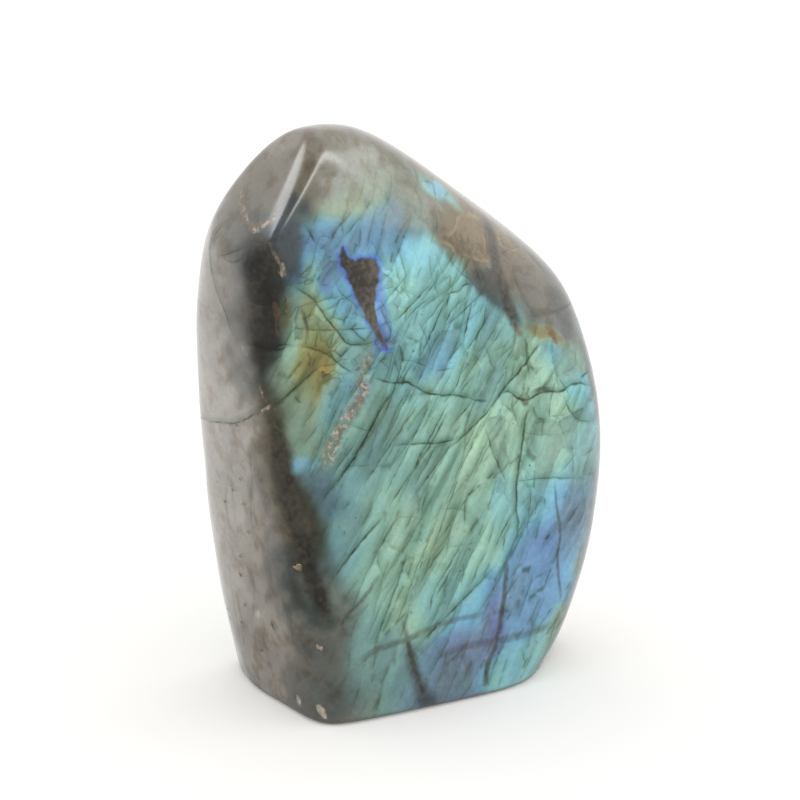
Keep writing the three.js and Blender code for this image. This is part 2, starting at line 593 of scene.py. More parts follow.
FRONT_FISSURES = (
    # the knot of fissures round the dark inclusion
    Fissure(((-35, 97), (-30, 93.5), (-27, 89), (-24.5, 86), (-22, 83), (-17, 82.5), (-14.5, 83.5)),
             0.7, 0.9),
    Fissure(((-30.5, 109), (-29, 106), (-28, 104.5)), 0.7, 0.8),
    Fissure(((-28.5, 103), (-27, 106), (-24, 105.5), (-21.5, 105.5)), 0.4, 0.5),
    Fissure(((-26, 102), (-22.5, 104.5), (-17.5, 108.5), (-15.5, 110)), 0.5, 0.75),
    Fissure(((-17, 108), (-17.5, 105), (-18.2, 102)), 0.4, 0.6),
    Fissure(((-21.5, 108), (-21.5, 105)), 0.4, 0.6),
    Fissure(((-28.5, 96), (-26, 98.5), (-23.5, 100.5), (-22, 102)), 0.4, 0.6),
    Fissure(((-25, 98), (-24, 95.5), (-22.8, 93.5), (-20, 91), (-17.5, 88)), 0.4, 0.6),
    Fissure(((-28, 94), (-26, 93), (-22.5, 93.5)), 0.4, 0.6),
    Fissure(((-28, 90.5), (-25, 91.5), (-23, 93)), 0.4, 0.6),
    Fissure(((-36, 88.5), (-34, 87.5), (-26, 86.5), (-15, 85.5)), 0.5, 0.7),
    Fissure(((-27.5, 107.5), (-29, 102), (-31, 98)), 0.4, 0.5),
    Fissure(((-11.5, 106), (-12.5, 103), (-12, 99)), 0.4, 0.4),
    Fissure(((-8.8, 103), (-7, 96.5), (-7.5, 94), (-6, 90)), 0.5, 0.7),
    Fissure(((-5, 98), (-7, 95.5), (-12.5, 91), (-13.5, 89)), 0.5, 0.7),
    Fissure(((0, 94), (-6, 89.5), (-11.5, 85.5)), 0.7, 1),
    Fissure(((0, 91), (-5, 88.5), (-10, 84.5)), 0.5, 0.85),
    Fissure(((-4, 89.5), (-5, 87), (-6, 84)), 0.4, 0.6),
    # the fan that spreads from the tan corner down to the left
    Fissure(((0, 93), (3, 93.8), (5, 94.5)), 0.4, 0.7),
    Fissure(((0, 90), (6, 91), (9, 92), (12, 90.5)), 0.6, 0.9),
    Fissure(((1, 86), (3, 89), (6, 93.5)), 0.5, 0.8),
    Fissure(((0, 80), (1.5, 83.5), (4, 87), (9.5, 90.5)), 0.5, 0.85),
    Fissure(((5.5, 78), (8, 85), (10, 89.5)), 0.6, 1),
    Fissure(((5, 77.5), (8, 79), (13, 84.5), (15, 86)), 0.6, 1),
    Fissure(((8, 77), (10, 80.5), (12, 84), (13, 87)), 0.5, 0.8),
    Fissure(((11.5, 80), (13, 74.5), (14.5, 71.5)), 0.4, 0.6),
    Fissure(((12, 77), (14, 79), (18, 82.5)), 0.4, 0.6),
    Fissure(((12.5, 77), (16, 77.5), (20, 80)), 0.4, 0.4),
    Fissure(((22.5, 80), (22.5, 74), (23, 68.5)), 0.5, 0.7),
    Fissure(((-4, 90), (-8.5, 83), (-9, 80.5)), 0.5, 0.7),
    Fissure(((-12, 80.5), (-10, 75), (-9, 73.5)), 0.5, 0.7),
    Fissure(((-5, 78.5), (-7, 76.5), (-11.5, 71.5)), 0.5, 0.7),
    Fissure(((-11, 78.5), (-5.5, 77), (-1, 74.3)), 0.5, 0.7),
    Fissure(((3, 90), (-1, 84), (-5.5, 77)), 0.6, 0.95),
    Fissure(((-9, 83.5), (-5, 81.3)), 0.4, 0.6),
    Fissure(((-2, 74.5), (4, 74.8)), 0.4, 0.5),
    # the two long ones across the middle, and the diagonal
    Fissure(((-17, 75.3), (-12, 73.3), (-8, 73), (-4, 70.3), (0, 69.2), (4, 68.7), (8, 67.2), (13, 66)),
             0.8, 1),
    Fissure(((13, 66.5), (17, 68), (19.5, 65.8), (22.5, 65.3), (26, 66.5), (31, 66), (35, 67),
             (41, 65.5)), 0.8, 1),
    Fissure(((36, 67.5), (38.5, 68.5), (41, 69)), 0.5, 0.8),
    Fissure(((28.5, 77.2), (25.5, 76.3), (20.5, 72), (16, 68.5), (11.5, 64), (6, 60), (0, 56.5)), 0.7,
             1),
    Fissure(((-13.5, 60), (-7.5, 59.6), (0, 58.8), (5, 59.8)), 0.7, 0.95),
    Fissure(((22.5, 64.5), (21, 60), (20, 55), (18.5, 48.5), (17.8, 42), (18.2, 38.5), (17.8, 33.3)),
             0.8, 1),
    Fissure(((18.5, 67.5), (18, 64), (20, 58.5)), 0.5, 0.8),
    Fissure(((10.5, 62), (12.8, 54), (16, 47)), 0.6, 0.75),
    Fissure(((23.5, 60), (28, 59.4)), 0.4, 0.6),
    Fissure(((26.5, 61), (29, 60.6), (33, 60.8)), 0.4, 0.5),
    Fissure(((31, 66), (33, 61.5), (36, 58.5), (40.2, 58.2)), 0.6, 0.75),
    Fissure(((35, 53), (33, 50.5), (29, 47.3)), 0.5, 0.6),
    Fissure(((40, 52), (37, 51), (35.5, 50.8)), 0.4, 0.5),
    Fissure(((16, 47.5), (21, 47.5), (28, 47), (36.5, 45.5)), 0.5, 0.65),
    # the long diagonals of the green field
    Fissure(((-5, 69), (-11, 62.5), (-16, 57), (-21, 51.5)), 0.5, 0.7),
    Fissure(((-1, 70), (-8, 60), (-12, 54), (-16, 48.5)), 0.5, 0.7),
    Fissure(((2, 66), (-3, 59), (-10, 51.5), (-15, 46)), 0.6, 0.8),
    Fissure(((4, 60), (-1, 55), (-9, 47)), 0.5, 0.8),
    Fissure(((-1.5, 52.5), (-3, 50)), 0.4, 0.5),
    Fissure(((-25, 57), (-17.5, 56.5)), 0.4, 0.5),
    Fissure(((-15, 45.5), (-22, 39.5), (-29, 32.5)), 0.9, 1),
    Fissure(((-11.5, 45), (-15.5, 40), (-20, 33.5)), 0.6, 0.85),
    Fissure(((-18.5, 40.5), (-17.2, 37.5), (-17.5, 35), (-15.2, 30)), 0.4, 0.7),
    Fissure(((-7.5, 45.5), (-9.5, 42.5), (-11, 40)), 0.5, 0.7),
    Fissure(((-9.5, 37.5), (-12.5, 30.5), (-15.5, 24.5), (-18.5, 19), (-20, 16.5)), 0.6, 0.85),
    Fissure(((-14, 34), (-10.5, 37.5)), 0.4, 0.6),
    Fissure(((-11, 33.5), (-9, 28), (-8.5, 26)), 0.4, 0.6),
    Fissure(((0, 37), (-6, 30.5), (-8.5, 27.5)), 0.5, 0.7),
    Fissure(((4.5, 46), (0.8, 39), (-0.5, 32.5)), 0.4, 0.6),
    Fissure(((5.5, 38.5), (-0.5, 30.5), (-4, 26), (-5.5, 20.5)), 0.6, 0.7),
    Fissure(((4, 33), (3.5, 29), (3, 26)), 0.4, 0.5),
    Fissure(((-5, 41), (-1, 44)), 0.4, 0.5),
    # the blue heel
    Fissure(((12.5, 30), (7, 25.8), (0, 21), (-9, 14.5)), 0.6, 0.8),
    Fissure(((31.8, 44), (30.5, 41)), 0.4, 0.5),
    Fissure(((36, 41), (32, 37), (29.3, 34)), 0.5, 0.75),
    Fissure(((24.5, 42.5), (21, 39), (18.5, 36.5)), 0.4, 0.5),
    Fissure(((21.5, 44), (18.2, 41)), 0.4, 0.5),
    Fissure(((18, 42), (14.5, 37.5), (12, 33.5), (10.5, 31.5)), 0.6, 0.8),
    Fissure(((14.8, 36.5), (14.5, 34.5), (14, 32)), 0.5, 0.7),
    Fissure(((19.5, 29.5), (17, 27.5), (15, 25.5)), 0.7, 0.7),
    Fissure(((25.5, 26), (21, 24.5)), 0.4, 0.5),
    Fissure(((34.5, 23), (31, 18), (29.5, 16.5)), 0.5, 0.6),
    Fissure(((29.5, 17.5), (27.5, 11.5), (26, 6.5)), 0.5, 0.7),
    Fissure(((18, 9.5), (18.8, 7), (19.3, 4.5)), 0.4, 0.6),
    # the golden edge and the strip below it
    Fissure(((-40, 70), (-35, 75), (-30, 78.5), (-28, 80)), 0.7, 0.95),
    Fissure(((-35.5, 84.5), (-31, 83.2), (-26.5, 81), (-24, 78.5), (-20, 76)), 0.6, 0.8),
    Fissure(((-26.5, 81), (-26, 84), (-25, 87)), 0.5, 0.7),
    Fissure(((-25.5, 80), (-23, 81.5), (-22, 83)), 0.5, 0.7),
    Fissure(((-42, 84), (-38, 83.5), (-35.5, 84.5)), 0.7, 0.9),
    Fissure(((-10, 73), (-14, 69.5), (-18, 64), (-23, 57.5), (-28.5, 52), (-30.5, 49.5)), 0.8, 1),
    Fissure(((-25, 67), (-20, 64.5), (-15, 62.8)), 0.4, 0.5),
    Fissure(((-22.5, 74), (-27, 67.5), (-29, 62)), 0.6, 0.7),
    Fissure(((-30, 71), (-34, 66.5)), 0.5, 0.6),
    Fissure(((-23, 49.5), (-26, 47.5)), 0.5, 0.6),
    # the grey corner on the right
    Fissure(((20.2, 96.7), (26.7, 96.7), (29.6, 96.6)), 0.4, 0.9),
    Fissure(((21.8, 79.5), (22.8, 77), (21.7, 71.7)), 0.5, 0.9),
    Fissure(((27, 91.4), (27.1, 90.9)), 0.8, 1),
    Fissure(((3.7, 107.8), (3.2, 105), (2, 103.1)), 0.4, 0.7),
    Fissure(((29.6, 96.6), (33, 92), (36, 88)), 0.3, 0.6),
    Fissure(((24, 95.5), (23, 91), (24.5, 86), (27, 81.7)), 0.3, 0.5),
    # the pale crown
    Fissure(((-13.5, 112), (-15, 110.5)), 0.5, 0.6),
    Fissure(((-6, 118), (-8, 113), (-12.5, 108)), 0.4, 0.4),
    Fissure(((-2, 116), (0, 111), (-1, 106)), 0.4, 0.3),
)

BANDS = (
    Fissure(((-24, 13), (-20, 15.5), (-11, 17), (0, 19), (10, 19)), 1.5, 0.5),
    Fissure(((-5, 11.8), (5, 12.5), (20, 12.5), (29, 13.8)), 1.9, 0.45),
    Fissure(((-11.5, 20), (-10.8, 15), (-9, 8), (-6.5, 1)), 1.2, 0.7),
    Fissure(((15, 32), (14.4, 25), (13, 18), (11.5, 12), (9, 6.5), (8, 1)), 1.3, 0.75),
    Fissure(((28.3, 47), (28.5, 41), (29.3, 34), (28.3, 28), (29.5, 17.5)), 0.8, 0.6),
    Fissure(((18.3, 106.6), (19.9, 104), (19.7, 101), (18.4, 95), (18.9, 89.8), (19.8, 84.5),
             (22, 79.3)), 3.4, 1),
    Fissure(((22.7, 90.2), (26.8, 88.7), (31.1, 87.2)), 1.4, 0.45),
    Fissure(((35.4, 86.4), (31.7, 84), (27.3, 81.7)), 1.6, 0.4),
    Fissure(((-22, 45), (-23, 36), (-21.5, 27)), 2.2, 0.4, Side.CORNER),
    Fissure(((-25, 58), (-22.5, 50), (-21.5, 42)), 2.6, 0.5, Side.CORNER),
    Fissure(((-33.5, 93), (-32, 90), (-31.3, 84)), 0.9, 0.7),
    Fissure(((-16.5, 33), (-21, 28), (-25.5, 24.5), (-28, 20)), 1, 0.6),
    Fissure(((20, 66.5), (21.3, 64.5), (22.5, 66)), 1.2, 0.8),
    Fissure(((2, 14), (4, 8), (3, 2)), 2.4, 0.35),
    Fissure(((-14, 84), (-12, 82), (-9, 83)), 1.3, 0.6),
    Fissure(((22.5, 66.5), (26, 67.2), (29, 66.4)), 1, 0.8),
)

VEINS = (
    Fissure(((-19, 78.5), (-19.5, 72), (-24, 66.5), (-27.5, 61), (-29, 56)), 3.5, 1),
    Fissure(((-16, 81), (-18.8, 77), (-19.2, 74)), 2.2, 0.8),
    Fissure(((-27.8, 115.9), (-28.5, 112.4), (-25, 108.2), (-21.8, 109.3), (-19, 111.6),
             (-16.8, 112.8)), 1.5, 0.8, Side.CORNER),
    Fissure(((-20.9, 106.6), (-19.5, 104), (-17.8, 100.4), (-16.7, 97.8)), 0.7, 0.9, Side.CORNER),
    Fissure(((-24.5, 67.9), (-22, 70), (-19.4, 71.8)), 0.8, 0.9, Side.CORNER),
    Fissure(((-23, 75.9), (-22.4, 73.8), (-21.2, 72)), 0.6, 0.8, Side.CORNER),
    Fissure(((-27.4, 83.2), (-25.5, 81.4)), 0.8, 0.6, Side.CORNER),
)

CORNER_FISSURES = (
    # round the dark lens, and on across the show face
    Fissure(((-31, 109.3), (-33.9, 106.5), (-35.3, 103.4), (-35.2, 99.9), (-34.3, 96.1), (-32.8, 92.3),
             (-31, 89.3), (-29.5, 85.4), (-27.1, 83.8)), 0.4, 0.75, Side.CORNER),
    Fissure(((-27.1, 83.8), (-23, 84), (-19.9, 83.4), (-17.5, 84.6), (-13.9, 83.4)), 0.6, 1,
             Side.CORNER),
    Fissure(((-34.2, 101.1), (-30.5, 102.2), (-27, 103.8), (-24, 105.5)), 0.4, 0.7, Side.CORNER),
    Fissure(((-25, 103), (-22, 99), (-20, 94), (-18.5, 90)), 0.3, 0.6, Side.CORNER),
    Fissure(((-26, 95), (-22.5, 93), (-19, 93.5)), 0.3, 0.6, Side.CORNER),
    # the crack right across the corner
    Fissure(((-39.7, 62.3), (-36.1, 63.1), (-31.6, 64.2), (-28.4, 65.7), (-24.4, 68.4), (-19.6, 71.4),
             (-16.5, 74), (-13.4, 76.7)), 0.45, 0.85, Side.CORNER),
    Fissure(((-20.6, 69.9), (-18.2, 66.4), (-17.1, 64.5)), 0.5, 0.7, Side.CORNER),
    Fissure(((-22.1, 21.3), (-22.3, 19.6), (-21.2, 18.2)), 0.5, 1, Side.CORNER),
    Fissure(((-23.2, 19.2), (-22.2, 19.8), (-21.3, 20.8)), 0.4, 0.9, Side.CORNER),
    Fissure(((-24, 60), (-26, 50), (-25, 41)), 0.3, 0.35, Side.CORNER),
    Fissure(((-28, 35), (-27, 26), (-28.5, 17)), 0.3, 0.35, Side.CORNER),
    Fissure(((-20, 30), (-17, 22), (-16, 14)), 0.3, 0.4, Side.CORNER),
)

# the middle of each black pit, on the corner's chart; a pit is a short, wide fissure
PITS = (
    (-31.6, 64.2), (-29.5, 64.8), (-31.8, 48.8), (-29.5, 52.2), (-34.5, 44.9), (-28, 40.2),
    (-30.9, 33.2), (-30.9, 28.6), (-36.5, 16.8), (-36.2, 14.6), (-31.7, 16.2), (-30.2, 21.5),
    (-13.2, 30.8), (-29, 46.5), (-26, 12),
)

LEFT_FISSURES = (
    Fissure(((-6, 62.3), (-12, 62.5), (-19, 60), (-24, 61)), 0.5, 0.75, Side.LEFT),
    Fissure(((2, 110), (-1, 105), (-1.5, 98)), 0.6, 0.6, Side.LEFT),
    Fissure(((13, 105), (8, 101), (4, 102)), 0.6, 0.5, Side.LEFT),
    Fissure(((6, 20), (4, 15), (5, 9)), 0.5, 0.4, Side.LEFT),
    Fissure(((-2, 52), (-5, 44), (-4, 36)), 0.4, 0.35, Side.LEFT),
    Fissure(((-10, 58), (-13, 48), (-12, 38)), 0.4, 0.3, Side.LEFT),
)


@dataclass(frozen=True)
class FissureSet:
    """Fissures that run the same way, drawn by a seeded rule.

    Attributes:
        side: The side they lie on.
        level_range: Where their middles lie, across the side's chart, in mm.
        height_range: Where their middles lie, in height, in mm.
        heading: The way they run on the chart, in degrees up from its right.
        number: How many there are.
        seed: Picks the drawing.
        length: The shortest and the longest, in mm.
        width: The narrowest and the widest, in mm.
        strength: The faintest and the darkest.
        spread: How far their headings differ, in degrees.
        bend: How far the heading turns from one point of a route to the next, in degrees.
    """

    side: Side
    level_range: Point
    height_range: Point
    heading: float
    number: int
    seed: int
    length: Point = (10.0, 32.0)
    width: Point = (0.35, 0.75)
    strength: Point = (0.4, 0.9)
    spread: float = 9.0
    bend: float = 8.0

    def routes(self) -> list[Fissure]:
        """Draws the fissures.

        A route is four steps of random length, each with a small random change of heading, laid
        about a random middle.
        """
        rng = np.random.default_rng(self.seed)
        drawn = []
        for _ in range(self.number):
            heading = rng.normal(self.heading, self.spread)
            headings = np.radians(heading + np.cumsum(rng.normal(0.0, self.bend, 4)))
            strides = rng.dirichlet(np.full(4, 8.0)) * rng.uniform(*self.length)
            steps = strides[:, None] * np.stack([np.cos(headings), np.sin(headings)], axis=1)
            path = np.concatenate([np.zeros((1, 2)), np.cumsum(steps, axis=0)])
            middle = np.array([rng.uniform(*self.level_range), rng.uniform(*self.height_range)])
            path += middle - 0.5 * path[-1]
            route = tuple((float(u), float(v)) for u, v in path)
            width, strength = (float(rng.uniform(*pair)) for pair in (self.width, self.strength))
            drawn.append(Fissure(route, width, strength, self.side))
        return drawn


FINE = (0.2, 0.42)
FAINT = (0.3, 0.75)
PLAIN = (0.5, 0.95)

FISSURE_SETS = (
    # the long leaning hairlines of the show face
    FissureSet(Side.FRONT, (-20, 14), (52, 82), 57, 26, 5, (8, 24), FINE, PLAIN, 4, 3),
    FissureSet(Side.FRONT, (-22, 8), (26, 54), 58, 20, 6, (9, 28), FINE, FAINT, 4, 3),
    FissureSet(Side.FRONT, (-10, 24), (10, 44), 60, 16, 7, (8, 22), FINE, FAINT, 5, 3),
    FissureSet(Side.FRONT, (4, 20), (66, 90), 52, 14, 8, (6, 16), FINE, PLAIN, 5, 4),
    # the wide cells of its right, and the knot round the inclusion
    FissureSet(Side.FRONT, (16, 36), (34, 74), 78, 7, 9, (8, 18), FINE, FAINT, 10, 8),
    FissureSet(Side.FRONT, (12, 34), (36, 72), 118, 8, 10, (6, 14), FINE, FAINT, 9, 8),
    FissureSet(Side.FRONT, (-32, -8), (76, 106), 46, 11, 12, (6, 15), FINE, FAINT, 9, 5),
    FissureSet(Side.FRONT, (-31, -6), (74, 102), 132, 9, 13, (6, 14), FINE, FAINT, 9, 5),
    FissureSet(Side.FRONT, (-14, 26), (12, 72), 2, 8, 14, (6, 14), FINE, FAINT, 9, 8),
    FissureSet(Side.FRONT, (-9, 14), (78, 97), 43, 15, 16, (8, 20), FINE, PLAIN, 7, 4),
    FissureSet(Side.FRONT, (-8, 17), (82, 104), 112, 7, 17, (6, 15), FINE, PLAIN, 9, 8),
    FissureSet(Side.FRONT, (-34, -24), (58, 96), 58, 8, 18, (6, 14), FINE, FAINT, 9, 6),
    # the same fissures where they come out on the sides that turn away
    FissureSet(Side.BACK, (-30, 36), (10, 106), 122, 42, 11),
    FissureSet(Side.BACK, (-30, 36), (10, 100), 4, 9, 15),
    FissureSet(Side.RIGHT, (-16, 18), (8, 92), 72, 14, 23, strength=(0.2, 0.5)),
    FissureSet(Side.RIGHT, (-16, 18), (8, 92), 4, 6, 24, strength=(0.2, 0.5)),
    FissureSet(Side.LEFT, (-16, 8), (10, 104), 98, 7, 31, strength=(0.15, 0.4)),
)


class Kind(Enum):
    """What a patch with an outline is made of: its dark tone and its light tone."""

    INCLUSION = (srgb(62, 58, 52), srgb(106, 100, 88))
    TAN = (srgb(96, 84, 62), srgb(138, 122, 94))
    CHIP = (srgb(150, 134, 112), srgb(204, 196, 184))
    COPPER = (srgb(98, 66, 40), srgb(140, 100, 54))
    DARK = (srgb(42, 39, 31), srgb(70, 66, 56))
    SLATE = (srgb(48, 54, 58), srgb(76, 82, 84))

    @property
    def place(self) -> float:
        """The kind's place along the material's ramps, the middle of its own share."""
        return (list(Kind).index(self) + 0.5) / len(Kind)


@dataclass(frozen=True)
class Patch:
    """A patch of other stone with a definite outline.

    Attributes:
        outline: Points on the side's chart, in mm, joined by a smooth closed curve.
        kind: What it is made of.
        strength: How much of it shows, 0 to 1.
        side: The side it lies on.
    """

    outline: tuple[Point, ...]
    kind: Kind
    strength: float = 1.0
    side: Side = Side.FRONT


FRONT_PATCHES = (
    # the dark inclusion: a horn, a heart-shaped body and a long tail
    Patch(((-22.8, 101.7), (-21.9, 103.7), (-20.5, 100.8), (-18, 100.5), (-15.8, 100.5), (-13.9, 99.7),
           (-13.5, 97.9), (-14.3, 94.3), (-14.9, 91.7), (-14.9, 88.4), (-14.5, 85.5), (-13.4, 83.1),
           (-12.6, 80.6), (-14.2, 82.1), (-15.8, 84.6), (-17.5, 88), (-19, 91.4), (-20.3, 94.5),
           (-21.5, 97.6), (-22.8, 99.8)), Kind.INCLUSION),
    # the smoky smudge under the tan corner, and the slate one out to its right
    Patch(((10.8, 94.6), (15, 94.3), (18, 94.5), (18.8, 90), (19.4, 84), (16.6, 85.4), (13.6, 88),
           (10.8, 90.6)), Kind.DARK, 0.75),
    Patch(((33, 86), (36.5, 85.5), (38.6, 82), (37.6, 77.7), (34.3, 76.5), (33.4, 80.8)), Kind.SLATE,
           0.5),
    # the brown wedge that stands on the heel
    Patch(((-12, 21), (-10, 14.5), (-7.6, 8), (-4.2, 0.6), (-8.8, 0.8), (-10.4, 6.5), (-11.6, 14)),
           Kind.DARK, 0.65),
    # the tan corners on each side of the dark band, and the coppery fringe below them
    Patch(((1.9, 102.7), (4.6, 102.8), (8, 103.6), (9.9, 105.6), (14.5, 105.8), (17.4, 104.3),
           (17.6, 101.4), (16.2, 97.7), (16.3, 94.9), (14.6, 95.7), (12.6, 96.3), (9.3, 97.6),
           (6.3, 98.5), (5.8, 100), (3.3, 101.5)), Kind.TAN, 0.9),
    Patch(((22.6, 102.3), (24.2, 101.3), (28.7, 97.8), (29.1, 96.8), (25.2, 96), (21.8, 97),
           (21.5, 99.1)), Kind.TAN, 0.75),
    Patch(((19.6, 82.3), (20.8, 82.4), (22.4, 79.6), (21.4, 79), (19.9, 80.3)), Kind.COPPER, 0.5),
    Patch(((28.6, 80.3), (30, 80.1), (31.8, 77.2), (31.6, 75.8), (30, 77.4)), Kind.COPPER, 0.6),
)

CORNER_PATCHES = (
    # the dark lens high on the corner, the blot under it and the slate patch over it
    Patch(((-25.2, 106.4), (-21.8, 107), (-19.3, 103.7), (-18, 99.4), (-17.6, 95.6), (-18.2, 92.5),
           (-20, 91.3), (-23.1, 91.6), (-24.9, 94.6), (-25.8, 98.8)), Kind.DARK, 0.65, Side.CORNER),
    Patch(((-27.9, 90.7), (-24.3, 93), (-20.4, 93.2), (-19.4, 91.6), (-19.1, 87.3), (-19.8, 84.3),
           (-21.7, 83.5), (-25.9, 83.5), (-27.8, 86.3)), Kind.DARK, 0.5, Side.CORNER),
    Patch(((-20.2, 106.8), (-17.5, 109.6), (-14.8, 109.7), (-14.1, 105.5), (-15.4, 101.2),
           (-16.6, 99.3), (-18.9, 103.7)), Kind.SLATE, 0.8, Side.CORNER),
    Patch(((-19.6, 93.4), (-18.6, 93), (-18, 90.4), (-18.7, 88.6), (-18.1, 86.6), (-19, 86.4),
           (-19.3, 89.6)), Kind.COPPER, 0.5, Side.CORNER),
    # the smoky strip down the edge of the show face
    Patch(((-20, 67.5), (-17.6, 66), (-15.9, 58.5), (-14.3, 51), (-12, 42), (-10, 34.5), (-7.9, 27.5),
           (-8.8, 24.5), (-12, 28.5), (-14, 34.5), (-15.5, 42), (-18.5, 50), (-20.8, 57.5)), Kind.DARK,
           1, Side.CORNER),
    Patch(((-21.2, 38.8), (-16.4, 39.6), (-15.1, 34.8), (-17.9, 30.4), (-20.5, 33)), Kind.SLATE, 0.4,
           Side.CORNER),
    Patch(((-18.5, 26.6), (-12.1, 26.1), (-7.9, 19.4), (-10.1, 15.9), (-15, 15.7), (-18.1, 19.3)),
           Kind.SLATE, 0.35, Side.CORNER),
    # small chips of tan and white
    Patch(((-17.9, 101.8), (-17.2, 101.2), (-17.8, 98.6), (-18.5, 99.4)), Kind.CHIP, 0.6, Side.CORNER),
    Patch(((-16.1, 35.8), (-14.1, 36.8), (-14.2, 35)), Kind.TAN, 0.8, Side.CORNER),
    Patch(((-23.5, 7.1), (-22.4, 6.6), (-21.9, 2.2), (-23, 3.2)), Kind.TAN, 0.8, Side.CORNER),
    Patch(((-11.2, 4.6), (-9.9, 4.4), (-8.7, 2.2), (-9.3, 1.5), (-10.6, 2.7)), Kind.CHIP, 0.75,
           Side.CORNER),
    Patch(((-22.6, 74), (-19.6, 75), (-17.6, 70), (-17.7, 66), (-22.6, 68.6)), Kind.DARK, 0.5,
           Side.CORNER),
    Patch(((-11.1, 18.9), (-9.2, 18.2), (-9.6, 17.2), (-11, 17.8)), Kind.CHIP, 0.7, Side.CORNER),
    Patch(((-16.5, 5.3), (-15.2, 4.6), (-15.4, 3.2), (-16.6, 3.8)), Kind.CHIP, 0.7, Side.CORNER),
)

BACK_PATCHES = (
    Patch(((-14, 93), (-9, 95), (-5, 100), (-3, 94), (-5, 89), (-3, 82), (-8, 86), (-12, 88)),
           Kind.DARK, 0.6, Side.BACK),
    Patch(((17, 71), (21, 70), (23, 75), (25, 68), (24, 60), (26, 52), (21, 57), (19, 64)), Kind.SLATE,
           0.5, Side.BACK),
    Patch(((-29, 38), (-24, 43), (-20, 40), (-15, 41), (-19, 35), (-25, 31)), Kind.TAN, 0.5, Side.BACK),
    Patch(((1, 24), (4, 26), (5, 33), (8, 25), (7, 18), (9, 10), (4, 13), (2, 18)), Kind.DARK, 0.6,
           Side.BACK),
    Patch(((-7, 61), (-5, 65), (-4, 62), (-1, 59), (-4, 58)), Kind.COPPER, 0.5, Side.BACK),
)

PATCHES = (*FRONT_PATCHES, *CORNER_PATCHES, *BACK_PATCHES)

# ---------------------------------------------------------------------------------------------
# Zones of colour
# ---------------------------------------------------------------------------------------------


@dataclass(frozen=True)
class FlashZone:
    """A zone where the lamellae have one spacing, and so one colour of flash.

    Attributes:
        place: Its middle on the side's chart, in mm.
        spread: Its half lengths, along and across, in mm.
        turn: Degrees that it is turned, anticlockwise on the chart.
        spacing: The lamellae's spacing, 0 the finest (violet) to 1 the widest (red).
        strength: How much of the stone's colour is flash, 0 to 1.
        light: How bright the flash is; 1 is the usual.
    """

    place: Point
    spread: Point
    turn: float
    spacing: float
    strength: float
    light: float


